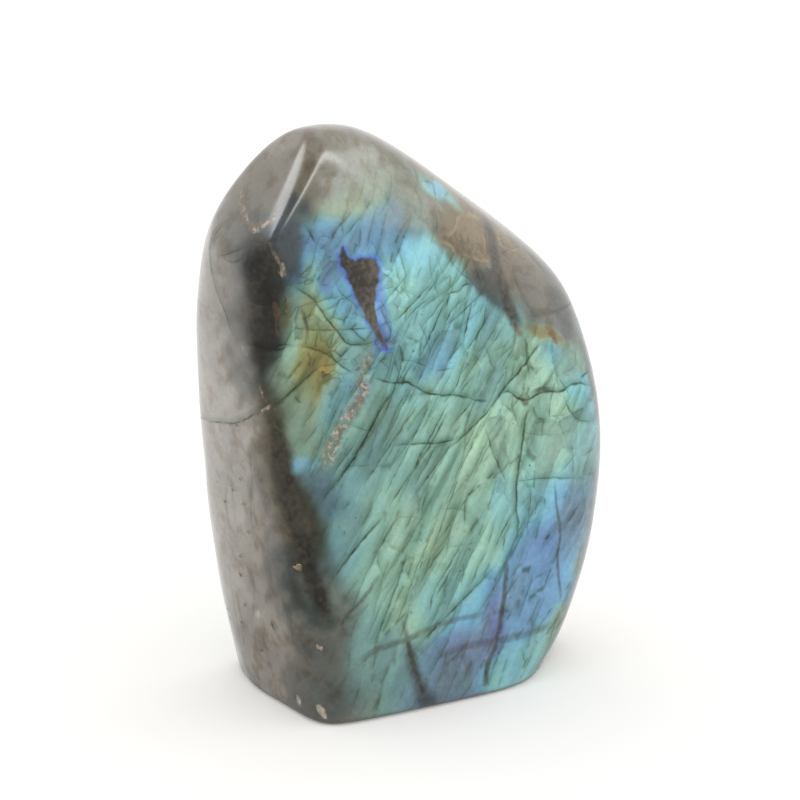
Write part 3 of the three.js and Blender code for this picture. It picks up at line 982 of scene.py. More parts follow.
FRONT_ZONES = (
    # the crown and the brow
    FlashZone((-16, 120), (12, 5), -10, 0.62, 0.06, 1.3),
    FlashZone((-18, 112.5), (8, 2.5), 8, 0.74, 0.45, 1.15),
    FlashZone((-4, 112), (6, 5), -30, 0.66, 0.2, 1.1),
    FlashZone((5.5, 112.2), (6.5, 1.7), -37, 0.37, 0.8, 1.6),
    FlashZone((-8, 107.8), (5, 2.2), -20, 0.4, 0.35, 0.8),
    FlashZone((-3, 118), (6, 3), -30, 0.7, 0.15, 0.9),
    FlashZone((4, 105.5), (6, 3), -30, 0.5, 0.12, 0.85),
    # the blue round the inclusion
    FlashZone((-20, 108), (8, 3), 10, 0.35, 0.85, 1),
    FlashZone((-11, 105), (5, 4), -20, 0.32, 0.95, 1),
    FlashZone((-28, 103), (3.5, 5), 15, 0.30, 0.85, 0.85),
    FlashZone((-26.5, 96.5), (1.8, 1.6), 0, 0.13, 1, 1),
    FlashZone((-29, 99), (4, 2.5), 45, 0.6, 0.8, 1),
    FlashZone((-24, 92), (4, 3), -50, 0.40, 1, 1),
    FlashZone((-22, 87), (3, 3), 0, 0.44, 1, 0.95),
    FlashZone((-13.2, 91), (1.4, 6), 15, 0.22, 1, 1.35),
    FlashZone((-14.5, 83.5), (1.2, 3.5), -28, 0.16, 1, 1),
    # the light cyan beside it
    FlashZone((-5, 99), (6, 4), -10, 0.45, 0.95, 1.55),
    FlashZone((-5, 92), (6, 4), 30, 0.52, 0.95, 1.28),
    FlashZone((-2, 85), (5, 4), 40, 0.5, 0.95, 1.2),
    FlashZone((1, 79), (4, 3), 30, 0.39, 0.95, 1.15),
    FlashZone((-12, 79), (6, 3), 20, 0.47, 0.9, 0.84),
    FlashZone((-10, 70), (4, 4), 20, 0.5, 1, 1.16),
    FlashZone((-22, 80), (4, 3), 20, 0.55, 0.85, 0.8),
    # the green and gold of the left edge
    FlashZone((-31.5, 90), (4, 6), -15, 0.75, 0.9, 0.9),
    FlashZone((-26, 86), (2.5, 3.5), 0, 0.72, 0.95, 1.05),
    FlashZone((-30.3, 77.6), (3.6, 4.2), 10, 0.87, 0.9, 0.95),
    FlashZone((-33, 70), (2.6, 5), 10, 0.68, 0.8, 0.74),
    FlashZone((-36.8, 85), (1.4, 9), 0, 0.6, 0.85, 0.95),
    FlashZone((-38.6, 91), (0.9, 4), 0, 1, 0.8, 0.7),
    FlashZone((-38.5, 73), (2, 5), 0, 0.7, 0.05, 0.6),
    FlashZone((-33, 59), (2.5, 1.6), 30, 0.38, 0.9, 1.05),
    FlashZone((-30, 64), (3, 4), 20, 0.62, 0.8, 0.75),
    FlashZone((-28, 52), (4, 6), 40, 0.40, 0.4, 0.7),
    # the middle
    FlashZone((10, 86), (6, 4), 40, 0.48, 0.93, 1.08),
    FlashZone((16, 82), (4, 4), 40, 0.52, 0.95, 1),
    FlashZone((14, 74), (6, 4), 40, 0.58, 0.92, 1.14),
    FlashZone((25, 72), (4, 4), 0, 0.62, 0.88, 1.18),
    FlashZone((28, 73.5), (2, 2.5), 0, 0.36, 0.9, 1.05),
    FlashZone((33, 72), (3, 4), 0, 0.57, 0.55, 1.05),
    FlashZone((28, 79), (4, 1.6), -15, 0.93, 0.6, 1),
    FlashZone((34.5, 64), (2.5, 3.5), 15, 0.44, 0.95, 1.25),
    FlashZone((31, 58.5), (3, 4), 0, 0.62, 0.85, 1.15),
    FlashZone((5, 70), (6, 4), 10, 0.54, 0.95, 1.1),
    FlashZone((-4, 61), (7, 5), 40, 0.58, 1, 0.96),
    FlashZone((-20, 64), (4, 6), -35, 0.57, 0.9, 0.78),
    FlashZone((-24, 72), (3, 5), -35, 0.46, 0.8, 0.85),
    FlashZone((-20, 56), (4, 8), -40, 0.5, 0.9, 0.85),
    FlashZone((-12, 52), (5, 8), -40, 0.56, 1, 0.95),
    FlashZone((4, 50), (7, 9), -30, 0.63, 1, 1.03),
    FlashZone((12, 58), (5, 6), 0, 0.62, 0.92, 1.2),
    FlashZone((24, 53), (5, 7), 0, 0.60, 0.88, 1.18),
    FlashZone((36, 52), (3, 7), 0, 0.48, 0.6, 1.25),
    FlashZone((24, 43), (5, 4), 0, 0.44, 0.95, 1),
    # the lower green
    FlashZone((-25, 40), (4, 6), -40, 0.5, 0.85, 0.7),
    FlashZone((-16, 40), (4, 8), -40, 0.60, 0.95, 0.9),
    FlashZone((-5, 36), (7, 9), -30, 0.61, 1, 1.03),
    FlashZone((6, 36), (5, 7), 0, 0.58, 1, 1.08),
    FlashZone((-13, 24), (6, 8), -20, 0.62, 0.95, 0.95),
    FlashZone((-2, 25), (6, 5), 0, 0.52, 1, 1),
    FlashZone((-20, 12), (4, 8), 0, 0.55, 0.75, 0.85),
    FlashZone((14, 41), (4, 5), 0, 0.5, 1, 1),
    # the blue heel
    FlashZone((7, 22), (4, 4), 0, 0.42, 1, 1),
    FlashZone((6, 14), (5, 5), 0, 0.23, 0.6, 0.9),
    FlashZone((11.5, 19), (1.8, 5), 10, 0.14, 0.65, 0.95),
    FlashZone((20, 21), (5, 6), 0, 0.3, 0.85, 1.02),
    FlashZone((23, 31), (5, 5), 0, 0.28, 0.85, 1),
    FlashZone((33, 36), (3.5, 8), 0, 0.32, 0.6, 1.15),
    FlashZone((31, 23), (3, 4), 0, 0.33, 0.95, 1.05),
    FlashZone((19, 7), (7, 4), 0, 0.48, 0.95, 1.05),
    FlashZone((28, 10), (3, 4), 0, 0.66, 0.6, 1.2),
    FlashZone((-5, 7), (6, 5), 0, 0.32, 0.5, 0.8),
    FlashZone((-12, 8), (4, 5), 0, 0.45, 0.45, 0.8),
    # where the stone shows no flash
    FlashZone((11, 102), (8, 4), -30, 0.8, 0.05, 0.8),
    FlashZone((30, 88), (8, 7), -45, 0.5, 0.06, 0.8),
    FlashZone((35, 84), (2.5, 3), 0, 0.3, 0.15, 0.6),
    FlashZone((14.5, 93), (4, 3.6), 0, 0.4, 0.15, 0.6),
    FlashZone((-35, 105), (4, 7), 0, 0.3, 0.18, 0.6),
    FlashZone((-40, 95), (2.5, 12), 0, 0.6, 0, 0.5),
    FlashZone((-42, 70), (2.5, 14), 0, 0.6, 0, 0.5),
    FlashZone((-36, 45), (4, 14), 10, 0.6, 0.05, 0.5),
    FlashZone((-33, 20), (5, 14), 0, 0.5, 0.1, 0.6),
    FlashZone((-30, 115), (6, 5), 30, 0.6, 0.05, 0.8),
    FlashZone((-28, 5), (6, 6), 0, 0.5, 0.12, 0.7),
    FlashZone((36, 15), (4, 10), 0, 0.6, 0.1, 1),
    FlashZone((44, 50), (3, 30), 0, 0.45, 0.15, 1.1),
)

BACK_ZONES = (
    FlashZone((8, 60), (14, 20), -30, 0.52, 0.5, 0.85),
    FlashZone((-12, 40), (10, 14), -20, 0.40, 0.55, 0.85),
    FlashZone((20, 30), (10, 12), 0, 0.62, 0.4, 0.8),
    FlashZone((0, 85), (12, 8), 10, 0.34, 0.45, 0.85),
    FlashZone((-5, 15), (14, 7), 0, 0.26, 0.45, 0.8),
    FlashZone((34, 60), (7, 40), 0, 0.5, 0.05, 0.8),
    FlashZone((-34, 50), (7, 40), 0, 0.5, 0.05, 0.8),
    FlashZone((10, 112), (20, 9), 0, 0.5, 0.05, 0.8),
)

SIDE_FLASH = (0.5, 0.05, 0.9)


def shares(squared: np.ndarray) -> np.ndarray:
    """Weighs zones against each other at each place, as shares that add up to 1.

    A zone's weight is exp(-r^2), with r the distance from its middle in its own half lengths. Each
    place's largest weight is scaled to 1 first, so that the nearest zone stays in charge far out.

    Args:
        squared: r^2, (places, zones).

    Returns:
        Shares, (places, zones).
    """
    weight = np.exp(squared.min(axis=1, keepdims=True) - squared)
    return weight / weight.sum(axis=1, keepdims=True)


def zone_weights(chart: np.ndarray, zones: Sequence[FlashZone]) -> np.ndarray:
    """Works out the shares of turned zones on a side's chart.

    Args:
        chart: Chart points, (n, 2).
        zones: The zones.

    Returns:
        Shares, (n, number of zones).
    """
    place = np.array([z.place for z in zones], float)
    spread = np.array([z.spread for z in zones], float)
    turn = np.radians([z.turn for z in zones])
    arm = chart[:, None, :] - place[None]
    along = (arm[..., 0] * np.cos(turn) + arm[..., 1] * np.sin(turn)) / spread[:, 0]
    across = (arm[..., 1] * np.cos(turn) - arm[..., 0] * np.sin(turn)) / spread[:, 1]
    return shares(along**2 + across**2)


def flash_field(points: np.ndarray, normals: np.ndarray) -> np.ndarray:
    """Mixes the zones of flash over the skin.

    Args:
        points: The vertices, (n, 3), in mm.
        normals: Their outward vectors.

    Returns:
        (spacing, strength, light) for each vertex.
    """
    points = wander(points, 0.7, SEED + 1)
    field = np.tile(np.array(SIDE_FLASH), (len(points), 1))
    for side, zones in ((Side.FRONT, FRONT_ZONES), (Side.BACK, BACK_ZONES)):
        values = np.array([(z.spacing, z.strength, z.light) for z in zones])
        mixed = zone_weights(side.chart(points), zones) @ values
        share = ease(side.facing(normals), 0.15, 0.6)[:, None]
        field = field * (1.0 - share) + mixed * share
    return field


@dataclass(frozen=True)
class BodyZone:
    """A zone of the stone's own colour, under the flash.

    Attributes:
        place: Its middle, (x, y, z) in mm.
        spread: Its half lengths along X, Y and Z, in mm.
        colour: Its colour, in linear light.
    """

    place: Triple
    spread: Triple
    colour: Colour


WARM_GREY = srgb(152, 144, 138)
PALE_GREY = srgb(172, 165, 158)
ASH_GREY = srgb(146, 139, 132)
BROWN_GREY = srgb(130, 120, 110)
MILKY = srgb(154, 155, 147)
DUSTY_MAUVE = srgb(134, 130, 132)
HONEY = srgb(116, 100, 78)
DRAB = srgb(112, 103, 90)
SMOKE = srgb(106, 100, 92)
GREEN_GREY = srgb(100, 106, 97)
SOOT = srgb(82, 76, 69)
DUSKY_BROWN = srgb(86, 74, 57)
BLUE_BLACK = srgb(46, 52, 60)
OLIVE_BLACK = srgb(48, 44, 33)

BODY_ZONES = (
    # the smooth grey of the left side
    BodyZone((-44, 8, 70), (5, 9, 35), WARM_GREY),
    BodyZone((-42, 8, 30), (6, 9, 25), WARM_GREY),
    BodyZone((-44, 2, 95), (4, 6, 12), DRAB),
    BodyZone((-38, 16, 95), (8, 7, 18), BROWN_GREY),
    BodyZone((-40, 20, 50), (8, 8, 40), PALE_GREY),
    # the smoke that thickens round the corner to the edge of the flash
    BodyZone((-43, -7, 89), (3.5, 4.5, 11), SOOT),
    BodyZone((-42, -8, 77), (3, 4, 5), SMOKE),
    BodyZone((-41, -12, 71), (3, 3.5, 5), DRAB),
    BodyZone((-41, -5, 62), (4, 3.5, 8), ASH_GREY),
    BodyZone((-40, -13, 61), (3, 3.5, 6), DUSKY_BROWN),
    BodyZone((-39, -10, 52), (3, 3, 7), DRAB),
    BodyZone((-38, -14, 45), (2.5, 3, 6), DUSKY_BROWN),
    BodyZone((-38, -8, 41), (4, 4, 8), BROWN_GREY),
    BodyZone((-37, -12, 33), (3, 3.5, 5), SOOT),
    BodyZone((-37, -4, 24), (5, 5, 10), BROWN_GREY),
    BodyZone((-36, -15, 26), (3, 3, 5), DRAB),
    BodyZone((-36, -2, 12), (6, 7, 9), BROWN_GREY),
    BodyZone((-34, -15, 17), (4, 4, 6), DRAB),
    BodyZone((-32, -20, 8), (6, 6, 6), SOOT),
    BodyZone((-41, -14, 96), (3.5, 5, 11), BLUE_BLACK),
    BodyZone((-41, -15, 80), (2.5, 4, 7), OLIVE_BLACK),
    BodyZone((-38.5, -18, 62), (2.2, 4, 8), DUSKY_BROWN),
    BodyZone((-36.5, -19, 50), (2.6, 4, 7), OLIVE_BLACK),
    BodyZone((-35, -20, 38), (2.6, 4, 7), OLIVE_BLACK),
    BodyZone((-32, -21, 28), (2.6, 4, 6), OLIVE_BLACK),
    BodyZone((-29, -22, 50), (4, 5, 8), BLUE_BLACK),
    BodyZone((-35, -16, 104), (4, 5, 6), BLUE_BLACK),
    # the crown, brown and milky
    BodyZone((-40, -4, 106), (5, 6, 5), SMOKE),
    BodyZone((-36, -8, 115), (6, 6, 4), DRAB),
    BodyZone((-32, -2, 119), (7, 8, 5), DRAB),
    BodyZone((-18, -6, 126), (9, 10, 3), BROWN_GREY),
    BodyZone((-17, -13, 116), (7, 4, 4), MILKY),
    BodyZone((-4, -12, 113), (7, 5, 5), MILKY),
    BodyZone((0, -2, 118), (9, 8, 5), DRAB),
    BodyZone((21, -6, 99), (12, 9, 7), HONEY),
    # the right, the heel and the back
    BodyZone((29, -12, 88), (6, 7, 6), DRAB),
    BodyZone((34, -4, 88), (5, 8, 8), SMOKE),
    BodyZone((40, 0, 70), (5, 8, 10), GREEN_GREY),
    BodyZone((43, 2, 45), (5, 9, 18), PALE_GREY),
    BodyZone((37, -6, 14), (6, 9, 10), MILKY),
    BodyZone((0, -20, 55), (22, 6, 30), GREEN_GREY),
    BodyZone((0, -22, 12), (8, 6, 12), GREEN_GREY),
    BodyZone((14, -22, 14), (12, 6, 12), DUSTY_MAUVE),
    BodyZone((33, -16, 45), (6, 6, 14), DUSTY_MAUVE),
    BodyZone((0, 22, 85), (25, 8, 25), SMOKE),
    BodyZone((-12, 24, 40), (18, 7, 22), GREEN_GREY),
    BodyZone((22, 20, 35), (16, 9, 25), BROWN_GREY),
    BodyZone((28, 14, 80), (12, 9, 15), SMOKE),
    BodyZone((0, 0, 0), (30, 18, 2), SMOKE),
)


def body_field(points: np.ndarray) -> np.ndarray:
    """Mixes the zones of the stone's own colour over the skin, as the zones of flash are mixed.

    Args:
        points: The vertices, (n, 3), in mm.

    Returns:
        A linear colour for each vertex.
    """
    points = wander(points, 1.5, SEED + 2)
    place = np.array([z.place for z in BODY_ZONES], float)
    spread = np.array([z.spread for z in BODY_ZONES], float)
    squared = (((points[:, None, :] - place[None]) / spread[None]) ** 2).sum(axis=2)
    return shares(squared) @ np.array([z.colour for z in BODY_ZONES])


def patch_field(
    points: np.ndarray, normals: np.ndarray, reach: float = 4.0, turned_away: float = 0.1
) -> np.ndarray:
    """Measures the skin from the outlined patches.

    Args:
        points: The vertices, (n, 3), in mm.
        normals: Their outward vectors.
        reach: How far outside an outline it still counts, in mm.
        turned_away: How far the skin has to look the patch's way to show it.

    Returns:
        (distance from the nearest outline, negative inside; place of its kind on the ramps;
        strength) for each vertex. Inside two outlines the later patch shows.
    """
    field = np.zeros((len(points), 3))
    field[:, 0] = reach
    for patch in PATCHES:
        line = smooth_route((*patch.outline, patch.outline[0]))
        chart = patch.side.chart(points)
        near = np.all((chart > line.min(axis=0) - reach) & (chart < line.max(axis=0) + reach), axis=1)
        index = np.flatnonzero(near & (patch.side.facing(normals) > turned_away))
        spot = chart[index]
        _, _, gap = distance_to_line(spot, line)
        start, end = line[:-1], np.roll(line, -1, axis=0)[:-1]
        height = spot[:, None, 1]
        straddles = (start[:, 1] > height) != (end[:, 1] > height)
        rise = np.where(end[:, 1] == start[:, 1], 1e-9, end[:, 1] - start[:, 1])
        crossing = start[:, 0] + (height - start[:, 1]) * (end[:, 0] - start[:, 0]) / rise
        inside = (straddles & (spot[:, None, 0] < crossing)).sum(axis=1) % 2 == 1
        distance = np.where(inside, -gap, gap)
        closer = (distance < field[index, 0]) | inside
        chosen = index[closer]
        field[chosen, 0] = distance[closer]
        field[chosen, 1] = patch.kind.place
        field[chosen, 2] = patch.strength
    return field


# ---------------------------------------------------------------------------------------------
# Node trees
# ---------------------------------------------------------------------------------------------


class Wiring:
    """Short calls for laying nodes in one node tree."""

    def __init__(self, tree: bpy.types.NodeTree) -> None:
        """Keeps the node tree to work in."""
        self.tree = tree

    def feed(self, socket: Socket, value: Feed) -> None:
        """Joins a socket to another, or sets its value.

        Args:
            socket: The input.
            value: An output socket, a number or a list of numbers.
        """
        if isinstance(value, Socket):
            self.tree.links.new(value, socket)
            return
        if socket.type == "RGBA" and not isinstance(value, (int, float)) and len(value) == 3:
            value = (*value, 1.0)
        socket.default_value = value

    def node(self, kind: str, feeds: dict[Union[str, int], Feed], **settings: object) -> bpy.types.Node:
        """Adds a node.

        Args:
            kind: The node's type, without its "ShaderNode".
            feeds: What each input gets, by the input's name or number.
            **settings: The node's own properties.

        Returns:
            The node.
        """
        made = self.tree.nodes.new("ShaderNode" + kind)
        for name, value in settings.items():
            setattr(made, name, value)
        for name, value in feeds.items():
            self.feed(made.inputs[name], value)
        return made

    def calc(self, operation: str, *feeds: Feed, clamp: bool = False) -> Socket:
        """Adds a sum on numbers, by Blender's name for it; clamp holds the result from 0 to 1."""
        made = self.node("Math", dict(enumerate(feeds)), operation=operation, use_clamp=clamp)
        return made.outputs[0]

    def vector(self, operation: str, *feeds: Feed) -> Socket:
        """Adds a sum on vectors, by Blender's name for it, and gives its vector result."""
        return self.node("VectorMath", dict(enumerate(feeds)), operation=operation).outputs[0]

    def step(
        self, value: Feed, low: float, high: float, start: float = 0.0, end: float = 1.0
    ) -> Socket:
        """Adds a smooth step of a value, from start where it is low to end where it is high."""
        feeds = {"Value": value, "From Min": low, "From Max": high, "To Min": start, "To Max": end}
        return self.node("MapRange", feeds, interpolation_type="SMOOTHSTEP").outputs[0]

    def mix(self, share: Feed, first: Feed, second: Feed) -> Socket:
        """Mixes two colours; the share is how much of the second shows."""
        feeds = {0: share, 6: first, 7: second}
        return self.node("Mix", feeds, data_type="RGBA").outputs[2]

    def times(self, first: Feed, second: Feed, clamp: bool = False) -> Socket:
        """Multiplies two numbers."""
        return self.calc("MULTIPLY", first, second, clamp=clamp)

    def add_up(self, start: Feed, *parts: tuple[Feed, float]) -> Feed:
        """Adds parts to a number, each times its own weight.

        Args:
            start: The number.
            *parts: Each part and its weight.

        Returns:
            The sum.
        """
        for part, weight in parts:
            start = self.calc("MULTIPLY_ADD", part, weight, start)
        return start

    def centred(self, value: Socket) -> Socket:
        """Moves a number from about 0.5 to about 0."""
        return self.calc("SUBTRACT", value, 0.5)

    def blend(self, share: Feed, first: Feed, second: Feed) -> Socket:
        """Mixes two numbers; the share is how much of the second shows."""
        return self.node("Mix", {0: share, 2: first, 3: second}, data_type="FLOAT").outputs[0]

    def tint(self, share: Feed, colour: Socket, shade: Feed) -> Socket:
        """Multiplies a colour by a shade, as far as the share goes."""
        return self.mix(share, colour, self.vector("MULTIPLY", colour, shade))

    def scale(self, colour: Socket, amount: Feed) -> Socket:
        """Multiplies a colour or a vector by a number."""
        return self.node("VectorMath", {0: colour, "Scale": amount}, operation="SCALE").outputs[0]

    def ramp(self, value: Feed, stops: Sequence[tuple[float, Colour]], blend: str = "LINEAR") -> Socket:
        """Adds a colour ramp.

        Args:
            value: The place on the ramp.
            stops: Each stop's place and colour.
            blend: Blender's name for how it goes from stop to stop.

        Returns:
            The colour's socket.
        """
        made = self.node("ValToRGB", {0: value})
        made.color_ramp.interpolation = blend
        elements = made.color_ramp.elements
        while len(elements) < len(stops):
            elements.new(1.0)
        for element, (place, colour) in zip(elements, stops):
            element.position = place
            element.color = (*colour, 1.0)
        return made.outputs["Color"]

    def noise(self, vector: Feed, scale: float, detail: float = 2.0) -> bpy.types.Node:
        """Adds a noise in three dimensions; detail is how many finer copies it adds."""
        return self.node("TexNoise", {"Vector": vector, "Scale": scale, "Detail": detail})

    def split(self, vector: Feed) -> tuple[Socket, ...]:
        """Parts a vector into the sockets of its X, Y and Z."""
        return tuple(self.node("SeparateXYZ", {0: vector}).outputs)

    def attribute(self, name: str) -> Socket:
        """Reads a vertex attribute as a vector."""
        return self.node("Attribute", {}, attribute_name=name).outputs["Vector"]

    def use(self, group: bpy.types.NodeTree, feeds: dict[str, Feed]) -> bpy.types.Node:
        """Places a node group.

        Args:
            group: The group.
            feeds: What each of its inputs gets.

        Returns:
            The group's node.
        """
        made = self.node("Group", {}, node_tree=group)
        for name, value in feeds.items():
            self.feed(made.inputs[name], value)
        return made


class NodeEffect:
    """A shader node group with named inputs and outputs, built once."""

    name = "Effect"
    takes: dict[str, str] = {}
    gives: dict[str, str] = {}

    def __init__(self) -> None:
        """Makes the group's sockets and has it wired."""
        self.tree = bpy.data.node_groups.new(self.name, "ShaderNodeTree")
        for name, kind in self.takes.items():
            self.tree.interface.new_socket(name=name, in_out="INPUT", socket_type=kind)
        for name, kind in self.gives.items():
            self.tree.interface.new_socket(name=name, in_out="OUTPUT", socket_type=kind)
        entry = self.tree.nodes.new("NodeGroupInput")
        results = self.wire(Wiring(self.tree), entry.outputs)
        leave = self.tree.nodes.new("NodeGroupOutput")
        for name, socket in results.items():
            self.tree.links.new(socket, leave.inputs[name])

    def wire(self, lay: Wiring, takes: bpy.types.bpy_prop_collection) -> dict[str, Socket]:
        """Lays the group's nodes; each effect has its own.

        Args:
            lay: The wiring of the group's tree.
            takes: The sockets of the group's inputs.

        Returns:
            The socket for each output, by name.
        """
        raise NotImplementedError


FLOAT = "NodeSocketFloat"
VECTOR = "NodeSocketVector"
COLOUR = "NodeSocketColor"


class CleavagePlates(NodeEffect):
    """Thin plates between cleavage planes: long cells with hairline seams in halos of painted shade.

    A place is given in plates: one unit is a plate's length along X, its breadth along Y and its
    width along Z, which runs up across the plates.
    """

    name = "Cleavage plates"
    takes = {"Place": VECTOR, "Raggedness": FLOAT}
    gives = {"Tone": FLOAT, "Shift": FLOAT, "Rake": FLOAT, "Halo": FLOAT, "Seam": FLOAT}

    def wire(self, lay: Wiring, takes: bpy.types.bpy_prop_collection) -> dict[str, Socket]:
        """Lays the cells, a faint painted shade down across each, and its seams, some faint and some
        deep.

        Args:
            lay: The wiring of the group's tree.
            takes: The sockets of the group's inputs.

        Returns:
            The socket for each output, by name.
        """
        rag = lay.noise(takes["Place"], 1.6, 3.0).outputs["Color"]
        ragged = lay.scale(lay.vector("SUBTRACT", rag, (0.5, 0.5, 0.5)), takes["Raggedness"])
        place = lay.vector("ADD", takes["Place"], ragged)
        cells = lay.node("TexVoronoi", {"Vector": place, "Scale": 1.0})
        edges = lay.node("TexVoronoi", {"Vector": place, "Scale": 1.0}, feature="DISTANCE_TO_EDGE")
        tone, shift, chance = lay.split(cells.outputs["Color"])
        arm = lay.vector("SUBTRACT", cells.outputs["Position"], place)
        # rake: painted shade down each cell; halo: painted shade along its seams
        rake = lay.step(lay.split(arm)[2], -0.35, 0.55)
        depth = lay.calc("MULTIPLY_ADD", chance, 0.8, 0.2)
        halo = lay.times(lay.step(edges.outputs["Distance"], 0.26, 0.0), depth)
        seam = lay.times(lay.step(edges.outputs["Distance"], 0.07, 0.01), depth)
        return {"Tone": tone, "Shift": shift, "Rake": rake, "Halo": halo, "Seam": seam}


class FissureLine(NodeEffect):
    """A fissure from its layer: a wavering line in painted shade, deeper above it, with a painted glint
    below.
    """

    name = "Fissure line"
    takes = {"Layer": VECTOR, "Waver": FLOAT, "Break": FLOAT, "Softness": FLOAT}
    gives = {"Line": FLOAT, "Shade": FLOAT, "Glint": FLOAT}

    def wire(self, lay: Wiring, takes: bpy.types.bpy_prop_collection) -> dict[str, Socket]:
        """Turns distance, strength and width into the three masks.

        Args:
            lay: The wiring of the group's tree.
            takes: The sockets of the group's inputs.

        Returns:
            The socket for each output, by name.
        """
        distance, strength, width = lay.split(takes["Layer"])
        wavered = lay.calc("ADD", distance, takes["Waver"])
        half = lay.times(width, lay.calc("MULTIPLY_ADD", takes["Break"], 0.36, 0.04))
        inset = lay.calc("SUBTRACT", lay.calc("ABSOLUTE", wavered), half)
        softness = lay.calc("MULTIPLY_ADD", width, takes["Softness"], 0.08)
        core = lay.step(lay.calc("DIVIDE", inset, softness), -0.4, 0.9, 1.0, 0.0)
        fade = lay.calc("MULTIPLY_ADD", takes["Break"], 2.2, -0.35, clamp=True)
        line = lay.times(lay.times(core, strength), fade)
        # painted shade above the line and a painted highlight band along its lower lip
        shade = lay.times(lay.step(wavered, -1.9, -0.2), lay.step(wavered, 0.9, -0.1))
        glint = lay.times(lay.step(wavered, 0.1, 0.35), lay.step(wavered, 1.7, 0.4))
        return {
            "Line": line,
            "Shade": lay.times(shade, strength),
            "Glint": lay.times(glint, strength),
        }


class Mottle(NodeEffect):
    """Cloudiness in the body of the stone, soft clouds with finer grain inside them."""

    name = "Mottle"
    takes = {"Place": VECTOR}
    gives = {"Cloud": FLOAT, "Grain": FLOAT, "Dust": FLOAT, "Speck": FLOAT}

    def wire(self, lay: Wiring, takes: bpy.types.bpy_prop_collection) -> dict[str, Socket]:
        """Lays three noises, each finer than the last, and a thin scatter of specks.

        Args:
            lay: The wiring of the group's tree.
            takes: The sockets of the group's inputs.

        Returns:
            The socket for each output, by name.
        """
        cloud = lay.noise(takes["Place"], 0.11, 4.0).outputs["Fac"]
        grain = lay.noise(takes["Place"], 0.9, 3.0).outputs["Fac"]
        dust = lay.noise(takes["Place"], 2.6, 2.0).outputs["Fac"]
        specks = lay.node("TexVoronoi", {"Vector": takes["Place"], "Scale": 0.32})
        chance = lay.split(specks.outputs["Color"])[0]
        dot = lay.step(specks.outputs["Distance"], 0.05, 0.13, 1.0, 0.0)
        rare = lay.step(chance, 0.7, 0.78, 0.0, 1.0)
        return {"Cloud": cloud, "Grain": grain, "Dust": dust, "Speck": lay.times(dot, rare)}


class FlashColour(NodeEffect):
    """The colour that lamellae of a given spacing flash, from violet to copper."""

    name = "Flash colour"
    takes = {"Spacing": FLOAT}
    gives = {"Colour": COLOUR}
    stops = (
        (0.00, srgb(72, 60, 152)),
        (0.12, srgb(82, 98, 170)),
        (0.25, srgb(108, 142, 186)),
        (0.38, srgb(112, 168, 198)),
        (0.48, srgb(126, 180, 186)),
        (0.58, srgb(138, 182, 170)),
        (0.68, srgb(156, 184, 156)),
        (0.78, srgb(152, 160, 106)),
        (0.88, srgb(152, 134, 74)),
        (1.00, srgb(142, 76, 38)),
    )

    def wire(self, lay: Wiring, takes: bpy.types.bpy_prop_collection) -> dict[str, Socket]:
        """Lays one colour ramp.

        Args:
            lay: The wiring of the group's tree.
            takes: The sockets of the group's inputs.

        Returns:
            The socket for each output, by name.
        """
        return {"Colour": lay.ramp(takes["Spacing"], self.stops)}


@dataclass(frozen=True)
class PlateField:
    """The size and lean of a set of cleavage plates.

    Attributes:
        lean: Degrees that the plates lean from level, seen from the front.
        size: A plate's length, breadth and width, in mm.
    """

    lean: float
    size: Triple

    def place(self, lay: Wiring, place: Feed) -> Socket:
        """Turns a place in mm into a place in plates."""
        feeds = {"Vector": place, "Rotation": (0.0, math.radians(-self.lean), 0.0), "Scale": self.size}
        return lay.node("Mapping", feeds, vector_type="TEXTURE").outputs[0]


class StoneWiring(Wiring):
    """The wiring of the stone's material, with its place, in mm, and its mottle at hand."""

    def __init__(self, tree: bpy.types.NodeTree) -> None:
        """Lays what every part of the material reads.

        Args:
            tree: The material's node tree.
        """
        super().__init__(tree)
        coordinates = self.node("TexCoord", {}).outputs["Object"]
        scale = (1.0 / MM, 1.0 / MM, 1.0 / MM)
        self.place = self.node("Mapping", {"Vector": coordinates, "Scale": scale}).outputs[0]
        mottle = self.use(Mottle().tree, {"Place": self.place}).outputs
        self.cloud, self.grain, self.dust, self.speck = (mottle[name] for name in Mottle.gives)

    def fleck(self, scale: float, detail: float) -> Socket:
        """Gives the strength of a noise laid through the stone."""
        return self.noise(self.place, scale, detail).outputs["Fac"]

    def flecks(self, scale: float, detail: float) -> tuple[Socket, ...]:
        """Gives three noises of one kind that have nothing to do with each other."""
        return self.split(self.noise(self.place, scale, detail).outputs["Color"])


@dataclass(frozen=True)
class StoneTints:
    """The tints and tones of the stone's finish.

    Attributes:
        streak: Multiplies the flash in a streak of silk.
        rake: Multiplies it down a plate, a painted shade.
        halo: Multiplies it along a plate's edge, a painted shade.
        seam: Multiplies it in a plate's seam.
        stain: Multiplies the body where it is stained.
        lee: Multiplies the stone in the painted shade above a fissure.
        line: Multiplies it in a clean fissure.
        rust: Multiplies it in a rusty fissure.
        band: The dark and the light tone of a brown band.
        vein: The dark, the rusty and the pale tone of a vein.
        speck: The tone of a speck.
        foot: The tone of the dark line along the bottom of the base, partly dirt and partly painted
            contact shadow.
        rim: The blue and the violet tone round the inclusion.
        lit: The tone of the painted highlight along a tan patch's edge.
    """

    streak: Colour = srgb(146, 166, 142)
    rake: Colour = srgb(168, 190, 165)
    halo: Colour = srgb(150, 172, 152)
    seam: Colour = srgb(172, 174, 146)
    stain: Colour = srgb(216, 198, 174)
    lee: Colour = srgb(176, 192, 174)
    line: Colour = srgb(126, 138, 124)
    rust: Colour = srgb(190, 158, 128)
    band: tuple[Colour, Colour] = (srgb(50, 44, 37), srgb(86, 75, 62))
    vein: tuple[Colour, Colour, Colour] = (srgb(112, 106, 96), srgb(146, 112, 84), srgb(190, 170, 154))
    speck: Colour = srgb(60, 56, 50)
    foot: Colour = srgb(92, 82, 64)
    rim: tuple[Colour, Colour] = (srgb(72, 112, 200), srgb(82, 72, 140))
    lit: Colour = srgb(178, 160, 128)


